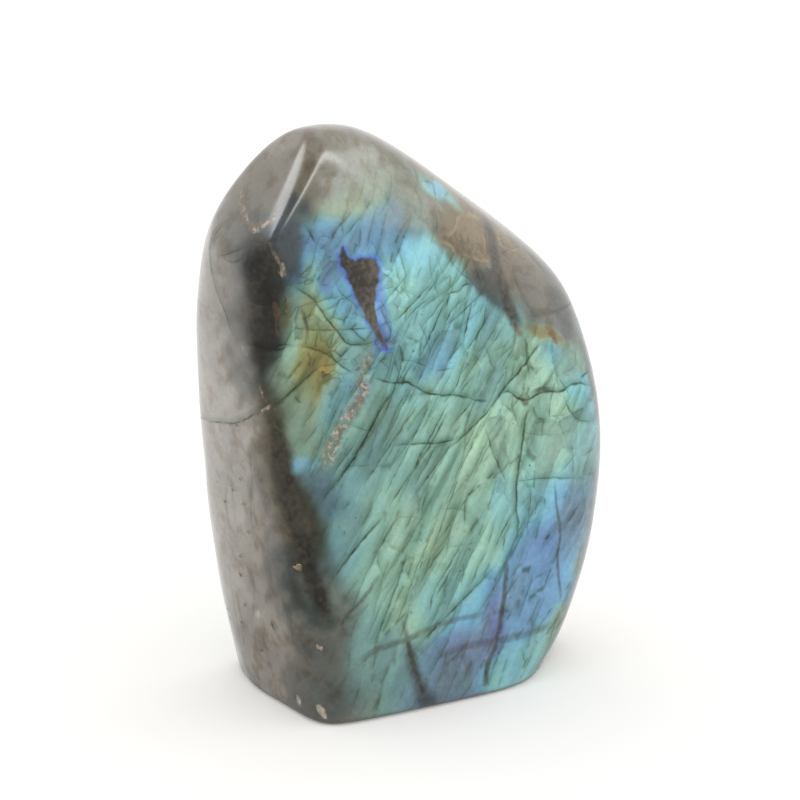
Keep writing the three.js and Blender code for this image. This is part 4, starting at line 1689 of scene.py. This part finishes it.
@dataclass(frozen=True)
class LabradoriteFinish:
    """The polished stone's material.

    Attributes:
        tints: Its tints and tones.
        plate_shift: How far plates shift the spacing of the lamellae.
        mottle_shift: How far cloud and grain shift it.
        plate_tone: How far plates differ in brightness.
        flash_level: How bright the flash is where nothing changes it.
        flash_mottle: How far cloud, grain and dust change that.
        body_level: How bright the body is where nothing changes it.
        body_mottle: How far cloud, grain and dust change that.
        rake_depth: How far a plate's painted shade darkens it down to its lower edge.
        halo_depth: How dark the painted shade of the halos along the plates' seams is.
        seam_depth: How dark the seams themselves are.
        broad: The plates of most of the stone.
        right: The broad plates of the right of the stone.
        knot: The rubble round the inclusion.
        silk: The long soft streaks that run through all the plates.
        silk_depth: How far the streaks brighten the flash.
        streak_gain: How many times further they darken it.
        silk_low: The heights between which the silk grows from 0.4 to full, in mm.
        silk_high: The heights between which it falls to half again, in mm.
        right_middle: The middle of the right field, in mm.
        right_reach: How far it reaches, in mm.
        knot_middle: The middle of the rubble, in mm.
        knot_reach: How far it reaches, in mm.
        raggedness: How far a field's edge wanders in and out, in mm.
        lee_depth: How deep the painted shade above a fissure is.
        glint_height: How much the painted highlight brightens the lower lip of a fissure.
        fill_edges: For each fill, how soft its edge is, as a share of its width, and how whole
            its line is, from 0 for broken to 1.
    """

    tints: StoneTints = StoneTints()
    plate_shift: float = 0.045
    mottle_shift: Point = (0.12, 0.06)
    plate_tone: float = 0.18
    flash_level: float = 1.04
    flash_mottle: Triple = (0.3, 0.3, 0.2)
    body_level: float = 1.05
    body_mottle: Triple = (0.8, 0.4, 0.3)
    rake_depth: float = 0.14
    halo_depth: float = 0.45
    seam_depth: float = 0.85
    broad: PlateField = PlateField(57.0, (21.0, 9.0, 4.6))
    right: PlateField = PlateField(68.0, (11.0, 9.0, 5.5))
    knot: PlateField = PlateField(35.0, (4.4, 3.6, 3.0))
    silk: PlateField = PlateField(57.0, (22.0, 9.0, 3.0))
    silk_depth: float = 1.2
    streak_gain: float = 2.4
    silk_low: Point = (20.0, 40.0)
    silk_high: Point = (74.0, 92.0)
    right_middle: Triple = (35.0, -16.0, 56.0)
    right_reach: float = 23.0
    knot_middle: Triple = (-22.0, -18.0, 90.0)
    knot_reach: float = 14.0
    raggedness: float = 9.0
    lee_depth: float = 0.7
    glint_height: float = 0.06
    fill_edges: ClassVar[dict[Fill, Point]] = {
        Fill.SHADOW: (0.2, 0.0),
        Fill.BROWN: (0.4, 0.5),
        Fill.CHIPS: (0.4, 0.4),
    }

    def make(self, layers: dict[Fill, Sequence[str]]) -> bpy.types.Material:
        """Builds the material.

        Args:
            layers: The names of the attribute layers of each kind of fissure.

        Returns:
            The material.
        """
        material = bpy.data.materials.new("polished_labradorite")
        material.use_nodes = True
        tree = material.node_tree
        tree.nodes.clear()
        lay = StoneWiring(tree)
        plates = self.plates(lay)
        lines = self.fissures(lay, layers)
        colour = self.darken(lay, self.stone_colour(lay, plates), lines)
        colour, chip = self.fillings(lay, colour, lines)
        height = lay.add_up(lay.times(chip, 0.25), (lines["dark"], -0.2))
        bump = lay.node("Bump", {"Strength": 0.35, "Distance": 0.0005, "Height": height})
        feeds = {
            "Base Color": colour,
            "Roughness": lay.add_up(0.3, (lines["dark"], 0.3), (lay.grain, 0.12)),
            "Normal": bump.outputs["Normal"],
            "Coat Weight": lay.add_up(1.0, (lines["dark"], -0.55)),
            "IOR": 1.56,
            "Specular IOR Level": 0.3,
            "Coat Roughness": 0.17,
            "Coat IOR": 1.5,
        }
        shader = lay.node("BsdfPrincipled", feeds)
        output = lay.node("OutputMaterial", {"Surface": shader.outputs[0]})
        output.is_active_output = True
        return material

    def inside(self, lay: StoneWiring, middle: Triple, reach: float) -> Socket:
        """Gives 1 inside a ragged ball and 0 outside it.

        Args:
            lay: The material's wiring.
            middle: The ball's middle, in mm.
            reach: Its radius, in mm.

        Returns:
            The mask's socket.
        """
        away = lay.node("VectorMath", {0: lay.place, 1: middle}, operation="DISTANCE").outputs["Value"]
        ragged = lay.add_up(away, (lay.fleck(0.22, 2.0), self.raggedness))
        return lay.calc("LESS_THAN", ragged, reach + 0.5 * self.raggedness)

    def plates(self, lay: StoneWiring) -> dict[str, Socket]:
        """Lays plates, smaller on the right and round the inclusion, and silk, leaning the way that the
        fissures run.

        Args:
            lay: The material's wiring.

        Returns:
            The sockets of silk, shift, tone, rake, halo and seam.
        """
        drift = lay.noise(lay.place, 0.035, 1.0).outputs["Color"]
        drift = lay.vector("SUBTRACT", drift, (0.5, 0.5, 0.5))
        bent = lay.vector("MULTIPLY_ADD", drift, (9.0, 9.0, 9.0), lay.place)
        chosen = self.broad.place(lay, bent)
        fields = (
            (self.right, self.right_middle, self.right_reach),
            (self.knot, self.knot_middle, self.knot_reach),
        )
        for field, middle, reach in fields:
            feeds = {0: self.inside(lay, middle, reach), 4: chosen, 5: field.place(lay, bent)}
            chosen = lay.node("Mix", feeds, data_type="VECTOR").outputs[1]
        broad = lay.use(CleavagePlates().tree, {"Place": chosen, "Raggedness": 0.12}).outputs
        silk = lay.noise(self.silk.place(lay, bent), 1.0, 4.0).outputs["Fac"]
        height = lay.split(bent)[2]
        above = lay.step(height, *self.silk_high, 1.0, 0.5)
        below = lay.step(height, *self.silk_low, 0.4, 1.0)
        calm = lay.times(above, below)
        faded = lay.step(lay.fleck(0.3, 2.0), 0.4, 0.6)
        return {
            "silk": lay.times(lay.centred(silk), calm),
            "shift": lay.centred(broad["Shift"]),
            "tone": lay.centred(broad["Tone"]),
            "rake": broad["Rake"],
            "halo": lay.times(broad["Halo"], faded),
            "seam": lay.times(broad["Seam"], faded),
        }

    def fissures(self, lay: StoneWiring, layers: dict[Fill, Sequence[str]]) -> dict[str, Socket]:
        """Joins the layers of each kind of fissure into one mask for each kind.

        Args:
            lay: The material's wiring.
            layers: The names of the attribute layers of each kind of fissure.

        Returns:
            The sockets of the dark, painted shade, painted glint, rust, brown and chips masks.
        """
        group = FissureLine().tree
        waver = lay.add_up(-0.4, (lay.fleck(0.45, 3.0), 0.8))
        rusty, broken, _ = lay.flecks(0.4, 3.0)
        masks = {}
        for fill, names in layers.items():
            sums: dict[str, Feed] = {"Line": 0.0, "Shade": 0.0, "Glint": 0.0}
            softness, wholeness = self.fill_edges[fill]
            gaps = lay.calc("MULTIPLY_ADD", broken, 1.0 - wholeness, 1.1 * wholeness)
            shared = {"Waver": waver, "Break": gaps, "Softness": softness}
            for name in names:
                mask = lay.use(group, {"Layer": lay.attribute(name), **shared})
                for part, so_far in sums.items():
                    sums[part] = lay.calc("MAXIMUM", so_far, mask.outputs[part])
            masks[fill] = sums
        return {
            "dark": masks[Fill.SHADOW]["Line"],
            "shade": masks[Fill.SHADOW]["Shade"],
            "glint": masks[Fill.SHADOW]["Glint"],
            "rust": lay.step(rusty, 0.5, 0.62),
            "brown": masks[Fill.BROWN]["Line"],
            "chips": masks[Fill.CHIPS]["Line"],
        }

    def stone_colour(self, lay: StoneWiring, plates: dict[str, Socket]) -> Socket:
        """Mixes the stone's own colour with the flash, plate by plate.

        Args:
            lay: The material's wiring.
            plates: The sockets that plates gives.

        Returns:
            The colour's socket.
        """
        spacing, strength, light = lay.split(lay.attribute("flash"))
        mottle = tuple(lay.centred(part) for part in (lay.cloud, lay.grain, lay.dust))
        shift = (plates["shift"], self.plate_shift)
        spacing = lay.add_up(spacing, shift, *zip(mottle, self.mottle_shift))
        flash = lay.use(FlashColour().tree, {"Spacing": spacing}).outputs["Colour"]
        differing = (plates["tone"], self.plate_tone)
        tone = lay.add_up(self.flash_level, differing, *zip(mottle, self.flash_mottle))
        flash = lay.scale(flash, lay.times(tone, light))
        sheen = lay.add_up(1.0, (lay.calc("MAXIMUM", plates["silk"], 0.0), self.silk_depth))
        flash = lay.scale(flash, sheen)
        streak = lay.times(plates["silk"], -self.streak_gain * self.silk_depth, clamp=True)
        flash = lay.tint(streak, flash, self.tints.streak)
        # painted shade down each plate and along its seams
        rake = lay.times(plates["rake"], self.rake_depth, clamp=True)
        flash = lay.tint(rake, flash, self.tints.rake)
        flash = lay.tint(lay.times(plates["halo"], self.halo_depth), flash, self.tints.halo)
        flash = lay.tint(lay.times(plates["seam"], self.seam_depth), flash, self.tints.seam)
        body = lay.attribute("body")
        pale_only = lay.step(lay.split(body)[0], 0.4, 0.25, 0.12, 1.0)
        stain = lay.times(lay.step(lay.fleck(0.24, 4.0), 0.46, 0.68), pale_only)
        body = lay.tint(stain, body, self.tints.stain)
        body = lay.scale(body, lay.add_up(self.body_level, *zip(mottle, self.body_mottle)))
        share = lay.times(lay.add_up(1.0, (plates["tone"], 0.3)), strength, clamp=True)
        return lay.mix(share, body, flash)

    def darken(self, lay: StoneWiring, colour: Socket, lines: dict[str, Socket]) -> Socket:
        """Draws the fissures: painted shade above each, a painted highlight on its lower lip, and its
        line.

        Args:
            lay: The material's wiring.
            colour: The stone's colour.
            lines: The sockets that fissures gives.

        Returns:
            The colour's socket.
        """
        # painted highlight along each fissure's lower lip, then painted shade above it
        colour = lay.scale(colour, lay.add_up(1.0, (lines["glint"], self.glint_height)))
        colour = lay.tint(lay.times(lines["shade"], self.lee_depth), colour, self.tints.lee)
        return lay.tint(lines["dark"], colour, lay.mix(lines["rust"], self.tints.line, self.tints.rust))

    def fillings(
        self, lay: StoneWiring, colour: Socket, lines: dict[str, Socket]
    ) -> tuple[Socket, Socket]:
        """Lays the patches of other stone, the brown bands, the veins of chips and the base's dark
        line, partly painted contact shadow.

        Args:
            lay: The material's wiring.
            colour: The stone's colour.
            lines: The sockets that fissures gives.

        Returns:
            The sockets of the new colour and of the mask of bright chips.
        """
        tints = self.tints
        colour = self.patches(lay, colour)
        brown = lay.mix(lay.step(lay.grain, 0.35, 0.7), *tints.band)
        colour = lay.mix(lay.times(lines["brown"], 0.9), colour, brown)
        rusty, pale, thin = lay.flecks(0.9, 4.0)
        chip = lay.step(pale, 0.5, 0.64)
        vein = lay.mix(lay.step(rusty, 0.5, 0.62), *tints.vein[:2])
        vein = lay.mix(chip, vein, tints.vein[2])
        share = lay.times(lines["chips"], lay.step(thin, 0.4, 0.56, 0.5, 0.9))
        colour = lay.mix(share, colour, vein)
        colour = lay.mix(lay.times(lay.speck, 0.5), colour, tints.speck)
        # darker towards the bottom of the base: partly dirt, partly painted contact shadow
        height = lay.split(lay.place)[2]
        foot = lay.add_up(lay.times(height, -1.0), (lay.grain, 1.6))
        colour = lay.mix(lay.times(lay.step(foot, -0.9, 0.4), 0.6), colour, tints.foot)
        return colour, lay.times(chip, lines["chips"])

    def patches(self, lay: StoneWiring, colour: Socket) -> Socket:
        """Lays the outlined patches, the inclusion with its rims of blue and violet, and a painted
        highlight inside each tan edge.

        Args:
            lay: The material's wiring.
            colour: The stone's colour.

        Returns:
            The colour's socket.
        """
        distance, kind, strength = lay.split(lay.attribute("patch"))
        distance = lay.calc("ADD", distance, lay.add_up(-0.8, (lay.fleck(0.5, 3.0), 1.6)))
        half_share = 0.5 / len(Kind)
        patchy = lay.step(lay.fleck(0.22, 1.0), 0.4, 0.6, 0.1, 0.9)
        included = lay.times(lay.calc("LESS_THAN", kind, 2.0 * half_share), strength)
        included = lay.times(included, patchy)
        for edge, tone in zip(((1.6, 0.0), (0.45, -0.2)), self.tints.rim):
            rim = lay.times(lay.step(distance, *edge), included)
            colour = lay.mix(lay.times(rim, 0.8), colour, tone)
        crisp = lay.step(distance, 0.15, -0.35)
        soft = lay.step(distance, 1.1, -1.1)
        is_soft = lay.calc("GREATER_THAN", kind, Kind.DARK.place - half_share)
        cover = lay.blend(is_soft, crisp, soft)
        cloudy = lay.add_up(lay.cloud, (lay.grain, 0.6))
        tones = [self.kind_tone(lay, kind, number) for number in range(2)]
        tone = lay.mix(lay.step(cloudy, 0.62, 1.0), *tones)
        # painted highlight along the inside of a tan patch's edge
        is_tan = lay.calc("COMPARE", kind, Kind.TAN.place, half_share)
        lit = lay.times(lay.step(distance, -1.2, -0.3), lay.times(is_tan, patchy))
        tone = lay.mix(lay.times(lit, 0.5), tone, self.tints.lit)
        return lay.mix(lay.times(cover, strength), colour, tone)

    def kind_tone(self, lay: StoneWiring, kind: Socket, number: int) -> Socket:
        """Looks up one of the tones of a patch's kind.

        Args:
            lay: The material's wiring.
            kind: The kind's place on the ramp.
            number: 0 for its dark tone and 1 for its light one.

        Returns:
            The tone's socket.
        """
        stops = [(order / len(Kind), known.value[number]) for order, known in enumerate(Kind)]
        return lay.ramp(kind, stops, "CONSTANT")


@dataclass(frozen=True)
class PaleBoardFinish:
    """The floor's material: a matt near-white board with a faint light behind it.

    Attributes:
        colour: The board's linear colour.
        roughness: How matt it is.
        glow: How bright the light behind it is.
        glow_colour: That light's linear colour.
    """

    colour: Colour = (0.88, 0.875, 0.865)
    roughness: float = 0.95
    glow: float = 0.17
    glow_colour: Colour = (1.0, 0.985, 0.965)

    def make(self) -> bpy.types.Material:
        """Builds the material."""
        material = bpy.data.materials.new("pale_board")
        material.use_nodes = True
        shader = material.node_tree.nodes["Principled BSDF"]
        shader.inputs["Base Color"].default_value = (*self.colour, 1.0)
        shader.inputs["Roughness"].default_value = self.roughness
        shader.inputs["Specular IOR Level"].default_value = 0.0
        shader.inputs["Emission Color"].default_value = (*self.glow_colour, 1.0)
        shader.inputs["Emission Strength"].default_value = self.glow
        return material


# ---------------------------------------------------------------------------------------------
# Sub-assemblies
# ---------------------------------------------------------------------------------------------


@dataclass(frozen=True)
class Freeform:
    """The stone: its mesh, with the fields on its vertices, and its dress.

    Attributes:
        form: Its shape.
        finish: Its material.
        fissure_layers: The most attribute layers that dark fissures may use.
        band_layers: The most that brown bands may use.
        vein_layers: The most that veins of chips may use.
        pit_run: How far a pit runs to the right and down, in mm.
        pit_width: How wide a pit is, in mm.
    """

    form: StoneForm = StoneForm()
    finish: LabradoriteFinish = LabradoriteFinish()
    fissure_layers: int = 16
    band_layers: int = 3
    vein_layers: int = 2
    pit_run: Point = (0.25, 0.45)
    pit_width: float = 0.9

    def build(self) -> bpy.types.Object:
        """Builds the stone in the place of its CAD node."""
        low, high = (np.array(corner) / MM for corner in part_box("stone"))
        heart = np.array([0.0, 0.0, self.form.heart_height])
        skin = MeltedSkin(FACETS, heart)
        grid = self.form.grid(skin)
        rows, columns, _ = grid.shape
        raw = grid.reshape(-1, 3)
        shift = 0.5 * (low + high) - 0.5 * (raw.min(axis=0) + raw.max(axis=0))
        shift[2] = 0.0
        normals = self.normals(skin, raw, rows * columns)
        points = raw + shift
        moved = self.form.relief(points, normals)
        stone = self.mesh_object(moved.reshape(rows, columns, 3))
        fields = self.fields(points, normals)
        keep = self.kept_vertices(rows, columns)
        for name, values in fields.items():
            self.add_attribute(stone.data, name, values[keep])
        layers = {fill: [n for n in fields if n.startswith(fill.value + "_")] for fill in Fill}
        stone.data.materials.append(self.finish.make(layers))
        counts = {fill.name: len(names) for fill, names in layers.items()}
        log.info("stone: %d vertices, layers %s", len(keep), counts)
        return stone

    def normals(self, skin: MeltedSkin, raw: np.ndarray, count: int) -> np.ndarray:
        """Gives the outward vectors, straight down under the base's rubbed edge.

        Args:
            skin: The skin.
            raw: The grid's points before they are centred.
            count: How many there are.

        Returns:
            Unit vectors, (count, 3).
        """
        normals = skin.outward(raw)
        under = np.arange(count) >= (self.form.fan_rows + self.form.wall_rows) * self.form.columns
        low = under & (raw[:, 2] <= 0.0)
        normals[low] = np.array([0.0, 0.0, -1.0])
        return normals

    def fields(self, points: np.ndarray, normals: np.ndarray) -> dict[str, np.ndarray]:
        """Works out every field over the skin.

        Args:
            points: The vertices, (n, 3), in mm.
            normals: Their outward vectors.

        Returns:
            Vectors, (n, 3), by attribute name.
        """
        fields = {
            "flash": flash_field(points, normals),
            "body": body_field(points),
            "patch": patch_field(points, normals),
        }
        seeded = [fissure for rule in FISSURE_SETS for fissure in rule.routes()]
        across, down = self.pit_run
        pits = [
            Fissure(((u, v), (u + across, v - down)), self.pit_width, 1.0, Side.CORNER) for u, v in PITS
        ]
        shadows = (*FRONT_FISSURES, *CORNER_FISSURES, *LEFT_FISSURES, *pits, *seeded)
        laid = (
            (Fill.SHADOW, self.fissure_layers, shadows),
            (Fill.BROWN, self.band_layers, BANDS),
            (Fill.CHIPS, self.vein_layers, VEINS),
        )
        for fill, layers, fissures in laid:
            field = FissureField(points, normals, fill, layers)
            for fissure in sorted(fissures, key=lambda f: -f.strength):
                field.add(fissure)
            fields.update(field.named_layers())
        return fields

    def kept_vertices(self, rows: int, columns: int) -> np.ndarray:
        """Lists the flat grid's points that become vertices: each pole's row gives only one."""
        inner = np.arange(columns, (rows - 1) * columns)
        return np.concatenate([[0], inner, [(rows - 1) * columns]])

    def mesh_object(self, grid: np.ndarray) -> bpy.types.Object:
        """Closes the grid into a mesh, with a UV map that follows its rows and columns.

        Args:
            grid: Points, (rows, columns, 3), in mm, with a pole at each end.

        Returns:
            The object.
        """
        rows, columns, _ = grid.shape
        keep = self.kept_vertices(rows, columns)
        vertices = grid.reshape(-1, 3)[keep] * MM
        row, column = np.meshgrid(np.arange(1, rows - 2), np.arange(columns), indexing="ij")
        row, column = row.ravel(), column.ravel()
        following = (column + 1) % columns

        def number(r: np.ndarray, c: np.ndarray) -> np.ndarray:
            """The vertex at a row and column."""
            return 1 + (r - 1) * columns + c

        quads = np.stack(
            [
                number(row, column),
                number(row + 1, column),
                number(row + 1, following),
                number(row, following),
            ],
            axis=1,
        )
        ring = np.arange(columns)
        after = (ring + 1) % columns
        last = len(vertices) - 1
        first_row = np.ones_like(ring)
        end_row = np.full_like(ring, rows - 2)
        foot_pole = np.full_like(ring, last)
        top = np.stack([np.zeros_like(ring), number(first_row, ring), number(first_row, after)], axis=1)
        foot = np.stack([foot_pole, number(end_row, after), number(end_row, ring)], axis=1)
        mesh = bpy.data.meshes.new("labradorite_freeform")
        mesh.from_pydata(vertices.tolist(), [], [*quads.tolist(), *top.tolist(), *foot.tolist()])
        mesh.polygons.foreach_set("use_smooth", np.ones(len(mesh.polygons), bool))
        uv = self.face_uvs(row, column, ring, rows, columns)
        mesh.uv_layers.new(name="OFBake").data.foreach_set("uv", uv.astype(np.float32).ravel())
        mesh.update()
        stone = bpy.data.objects.new("labradorite_freeform", mesh)
        bpy.context.scene.collection.objects.link(stone)
        return stone

    def face_uvs(
        self, row: np.ndarray, column: np.ndarray, ring: np.ndarray, rows: int, columns: int
    ) -> np.ndarray:
        """Gives every face corner its place: the column's share across and the row's share up.

        Args:
            row: The row of each four-sided face.
            column: The column of each four-sided face.
            ring: The columns once round, for the three-sided faces at the poles.
            rows: The grid's rows.
            columns: The grid's columns.

        Returns:
            Corners' places, (corners, 2), four-sided faces first, then the top's, then the foot's.
        """
        quads = np.stack(
            [
                np.stack([column, row], axis=1),
                np.stack([column, row + 1], axis=1),
                np.stack([column + 1, row + 1], axis=1),
                np.stack([column + 1, row], axis=1),
            ],
            axis=1,
        ).reshape(-1, 2)
        one = np.ones_like(ring)
        end = one * (rows - 2)
        top = np.stack([ring + 0.5, 0.0 * one, ring, one, ring + 1, one], axis=1).reshape(-1, 2)
        foot = np.stack([ring + 0.5, end + 1, ring + 1, end, ring, end], axis=1).reshape(-1, 2)
        corners = np.concatenate([quads, top, foot]).astype(float)
        margin = 0.004
        share = corners / np.array([columns, rows - 1])
        share[:, 1] = 1.0 - share[:, 1]
        return margin + share * (1.0 - 2.0 * margin)

    def add_attribute(self, mesh: bpy.types.Mesh, name: str, values: np.ndarray) -> None:
        """Stores a vector, one row of values, on each vertex."""
        attribute = mesh.attributes.new(name, "FLOAT_VECTOR", "POINT")
        attribute.data.foreach_set("vector", values.astype(np.float32).ravel())


@dataclass(frozen=True)
class Lamp:
    """A softbox that the shoulder's creases catch.

    Attributes:
        name: Its name.
        azimuth: Where it hangs, in degrees round from the front.
        elevation: Degrees up from level.
        width: How wide it is, in metres.
        height: How tall it is, in metres.
        power: In watts.
        distance: How far it hangs from the stone's middle, in metres.
    """

    name: str
    azimuth: float
    elevation: float
    width: float
    height: float
    power: float
    distance: float = 0.9


@dataclass(frozen=True)
class Studio:
    """The floor, the light and the camera.

    Attributes:
        azimuth: Where the camera stands, in degrees round from the front.
        elevation: Degrees that it looks down by.
        distance: How far it stands from what it looks at, in metres.
        look_at: What it looks at, as shares of the stone's box.
        half_view: Half its angle of view, in degrees.
        sensor: How wide its sensor is, in mm.
        floor_size: How wide the floor is, in metres.
        sky: How bright the even light is.
        sky_colour: Its colour.
        backdrop: How bright the sky is where the camera sees it.
        gloom: How bright the room behind the camera is.
        gloom_angles: Degrees from the camera's way to full sky and to full gloom.
        floor_shade: How bright the floor is in the polish.
        floor_steepness: How far down a ray looks, from -1 to 1, where the floor starts and is full.
        lamps: The softboxes.
    """

    azimuth: float = -30.0
    elevation: float = 15.0
    distance: float = 0.6
    look_at: Triple = (0.4575, 0.3406, 0.5185)
    half_view: float = 8.3
    sensor: float = 36.0
    floor_size: float = 6.0
    sky: float = 1.07
    sky_colour: tuple[float, ...] = (1.0, 0.995, 0.985, 1.0)
    backdrop: float = 1.0
    gloom: float = 0.12
    gloom_angles: Point = (110.0, 75.0)
    floor_shade: float = 0.25
    floor_steepness: Point = (-0.3, -0.5)
    lamps: tuple[Lamp, ...] = (
        Lamp("crest_lamp", -90.0, 54.0, 0.75, 0.26, 4.0),
        Lamp("brow_lamp", 27.0, 31.0, 0.75, 0.14, 2.6),
    )

    def direction(self, azimuth: float, elevation: float) -> Vector:
        """Gives the unit vector at degrees round from the front and degrees up from level."""
        turn, rise = math.radians(azimuth), math.radians(elevation)
        level = math.cos(rise)
        return Vector((math.sin(turn) * level, -math.cos(turn) * level, math.sin(rise)))

    def build(self) -> bpy.types.Object:
        """Builds the studio and gives its floor."""
        self.place_camera()
        self.light_sky()
        self.hang_lamps()
        return self.lay_floor()

    def lay_floor(self) -> bpy.types.Object:
        """Lays the floor, a large level sheet that glossy reflections pass by."""
        half = 0.5 * self.floor_size
        mesh = bpy.data.meshes.new("studio_floor")
        corners = [(-half, -half, 0.0), (half, -half, 0.0), (half, half, 0.0), (-half, half, 0.0)]
        mesh.from_pydata(corners, [], [(0, 1, 2, 3)])
        floor = bpy.data.objects.new("studio_floor", mesh)
        bpy.context.scene.collection.objects.link(floor)
        floor.visible_glossy = False
        mesh.materials.append(PaleBoardFinish().make())
        return floor

    def place_camera(self) -> None:
        """Stands the camera where the stone's show face turns a little away from it."""
        low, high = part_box("stone")
        share = Vector(self.look_at)
        target = Vector(a + (b - a) * s for a, b, s in zip(low, high, share))
        back = self.direction(self.azimuth, self.elevation)
        data = bpy.data.cameras.new("camera")
        data.sensor_width = self.sensor
        data.lens = 0.5 * self.sensor / math.tan(math.radians(self.half_view))
        camera = bpy.data.objects.new("camera", data)
        bpy.context.scene.collection.objects.link(camera)
        camera.location = target + back * self.distance
        camera.rotation_mode = "QUATERNION"
        camera.rotation_quaternion = (-back).to_track_quat("-Z", "Y")
        bpy.context.scene.camera = camera

    def light_sky(self) -> None:
        """Lights the stone evenly, but lets its polish mirror a dim room behind the camera.

        Glossy rays see the gloom within the second of the gloom's angles from the camera's way, the
        full sky beyond the first, and the shaded floor steeply below.
        """
        world = bpy.data.worlds.new("studio")
        bpy.context.scene.world = world
        world.use_nodes = True
        tree = world.node_tree
        tree.nodes.clear()
        lay = Wiring(tree)
        way = lay.node("TexCoord", {}).outputs["Generated"]
        room = tuple(self.direction(self.azimuth, 0.0))
        near = lay.node("VectorMath", {0: way, 1: room}, operation="DOT_PRODUCT").outputs["Value"]
        near = lay.step(near, *(math.cos(math.radians(angle)) for angle in self.gloom_angles))
        mirrored = lay.calc("MULTIPLY_ADD", near, self.gloom - self.sky, self.sky)
        steep = lay.step(lay.split(way)[2], *self.floor_steepness)
        mirrored = lay.blend(steep, mirrored, self.floor_shade)
        rays = lay.node("LightPath", {}).outputs
        level = lay.blend(rays["Is Glossy Ray"], self.sky, mirrored)
        level = lay.blend(rays["Is Camera Ray"], level, self.backdrop)
        background = lay.node("Background", {"Color": self.sky_colour, "Strength": level})
        lay.node("OutputWorld", {"Surface": background.outputs[0]})

    def hang_lamps(self) -> None:
        """Hangs the lamps round the stone, each turned to its middle."""
        low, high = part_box("stone")
        middle = (low + high) * 0.5
        for lamp in self.lamps:
            data = bpy.data.lights.new(lamp.name, "AREA")
            data.shape = "RECTANGLE"
            data.size = lamp.width
            data.size_y = lamp.height
            data.energy = lamp.power
            way = self.direction(lamp.azimuth, lamp.elevation)
            light = bpy.data.objects.new(lamp.name, data)
            bpy.context.scene.collection.objects.link(light)
            light.location = middle + way * lamp.distance
            light.visible_diffuse = False
            light.rotation_mode = "QUATERNION"
            light.rotation_quaternion = (-way).to_track_quat("-Z", "Y")


def main() -> None:
    """Builds the stone and its studio."""
    logging.basicConfig(level=logging.INFO, format="%(name)s: %(message)s")
    bpy.context.scene.view_settings.view_transform = "Standard"
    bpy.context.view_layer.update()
    stone = Freeform().build()
    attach(stone, "root")
    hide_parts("stone")
    log.info("piece %s rides on root", stone.name)
    floor = Studio().build()
    log.info("stage %s laid", floor.name)


if __name__ == "__main__":
    main()
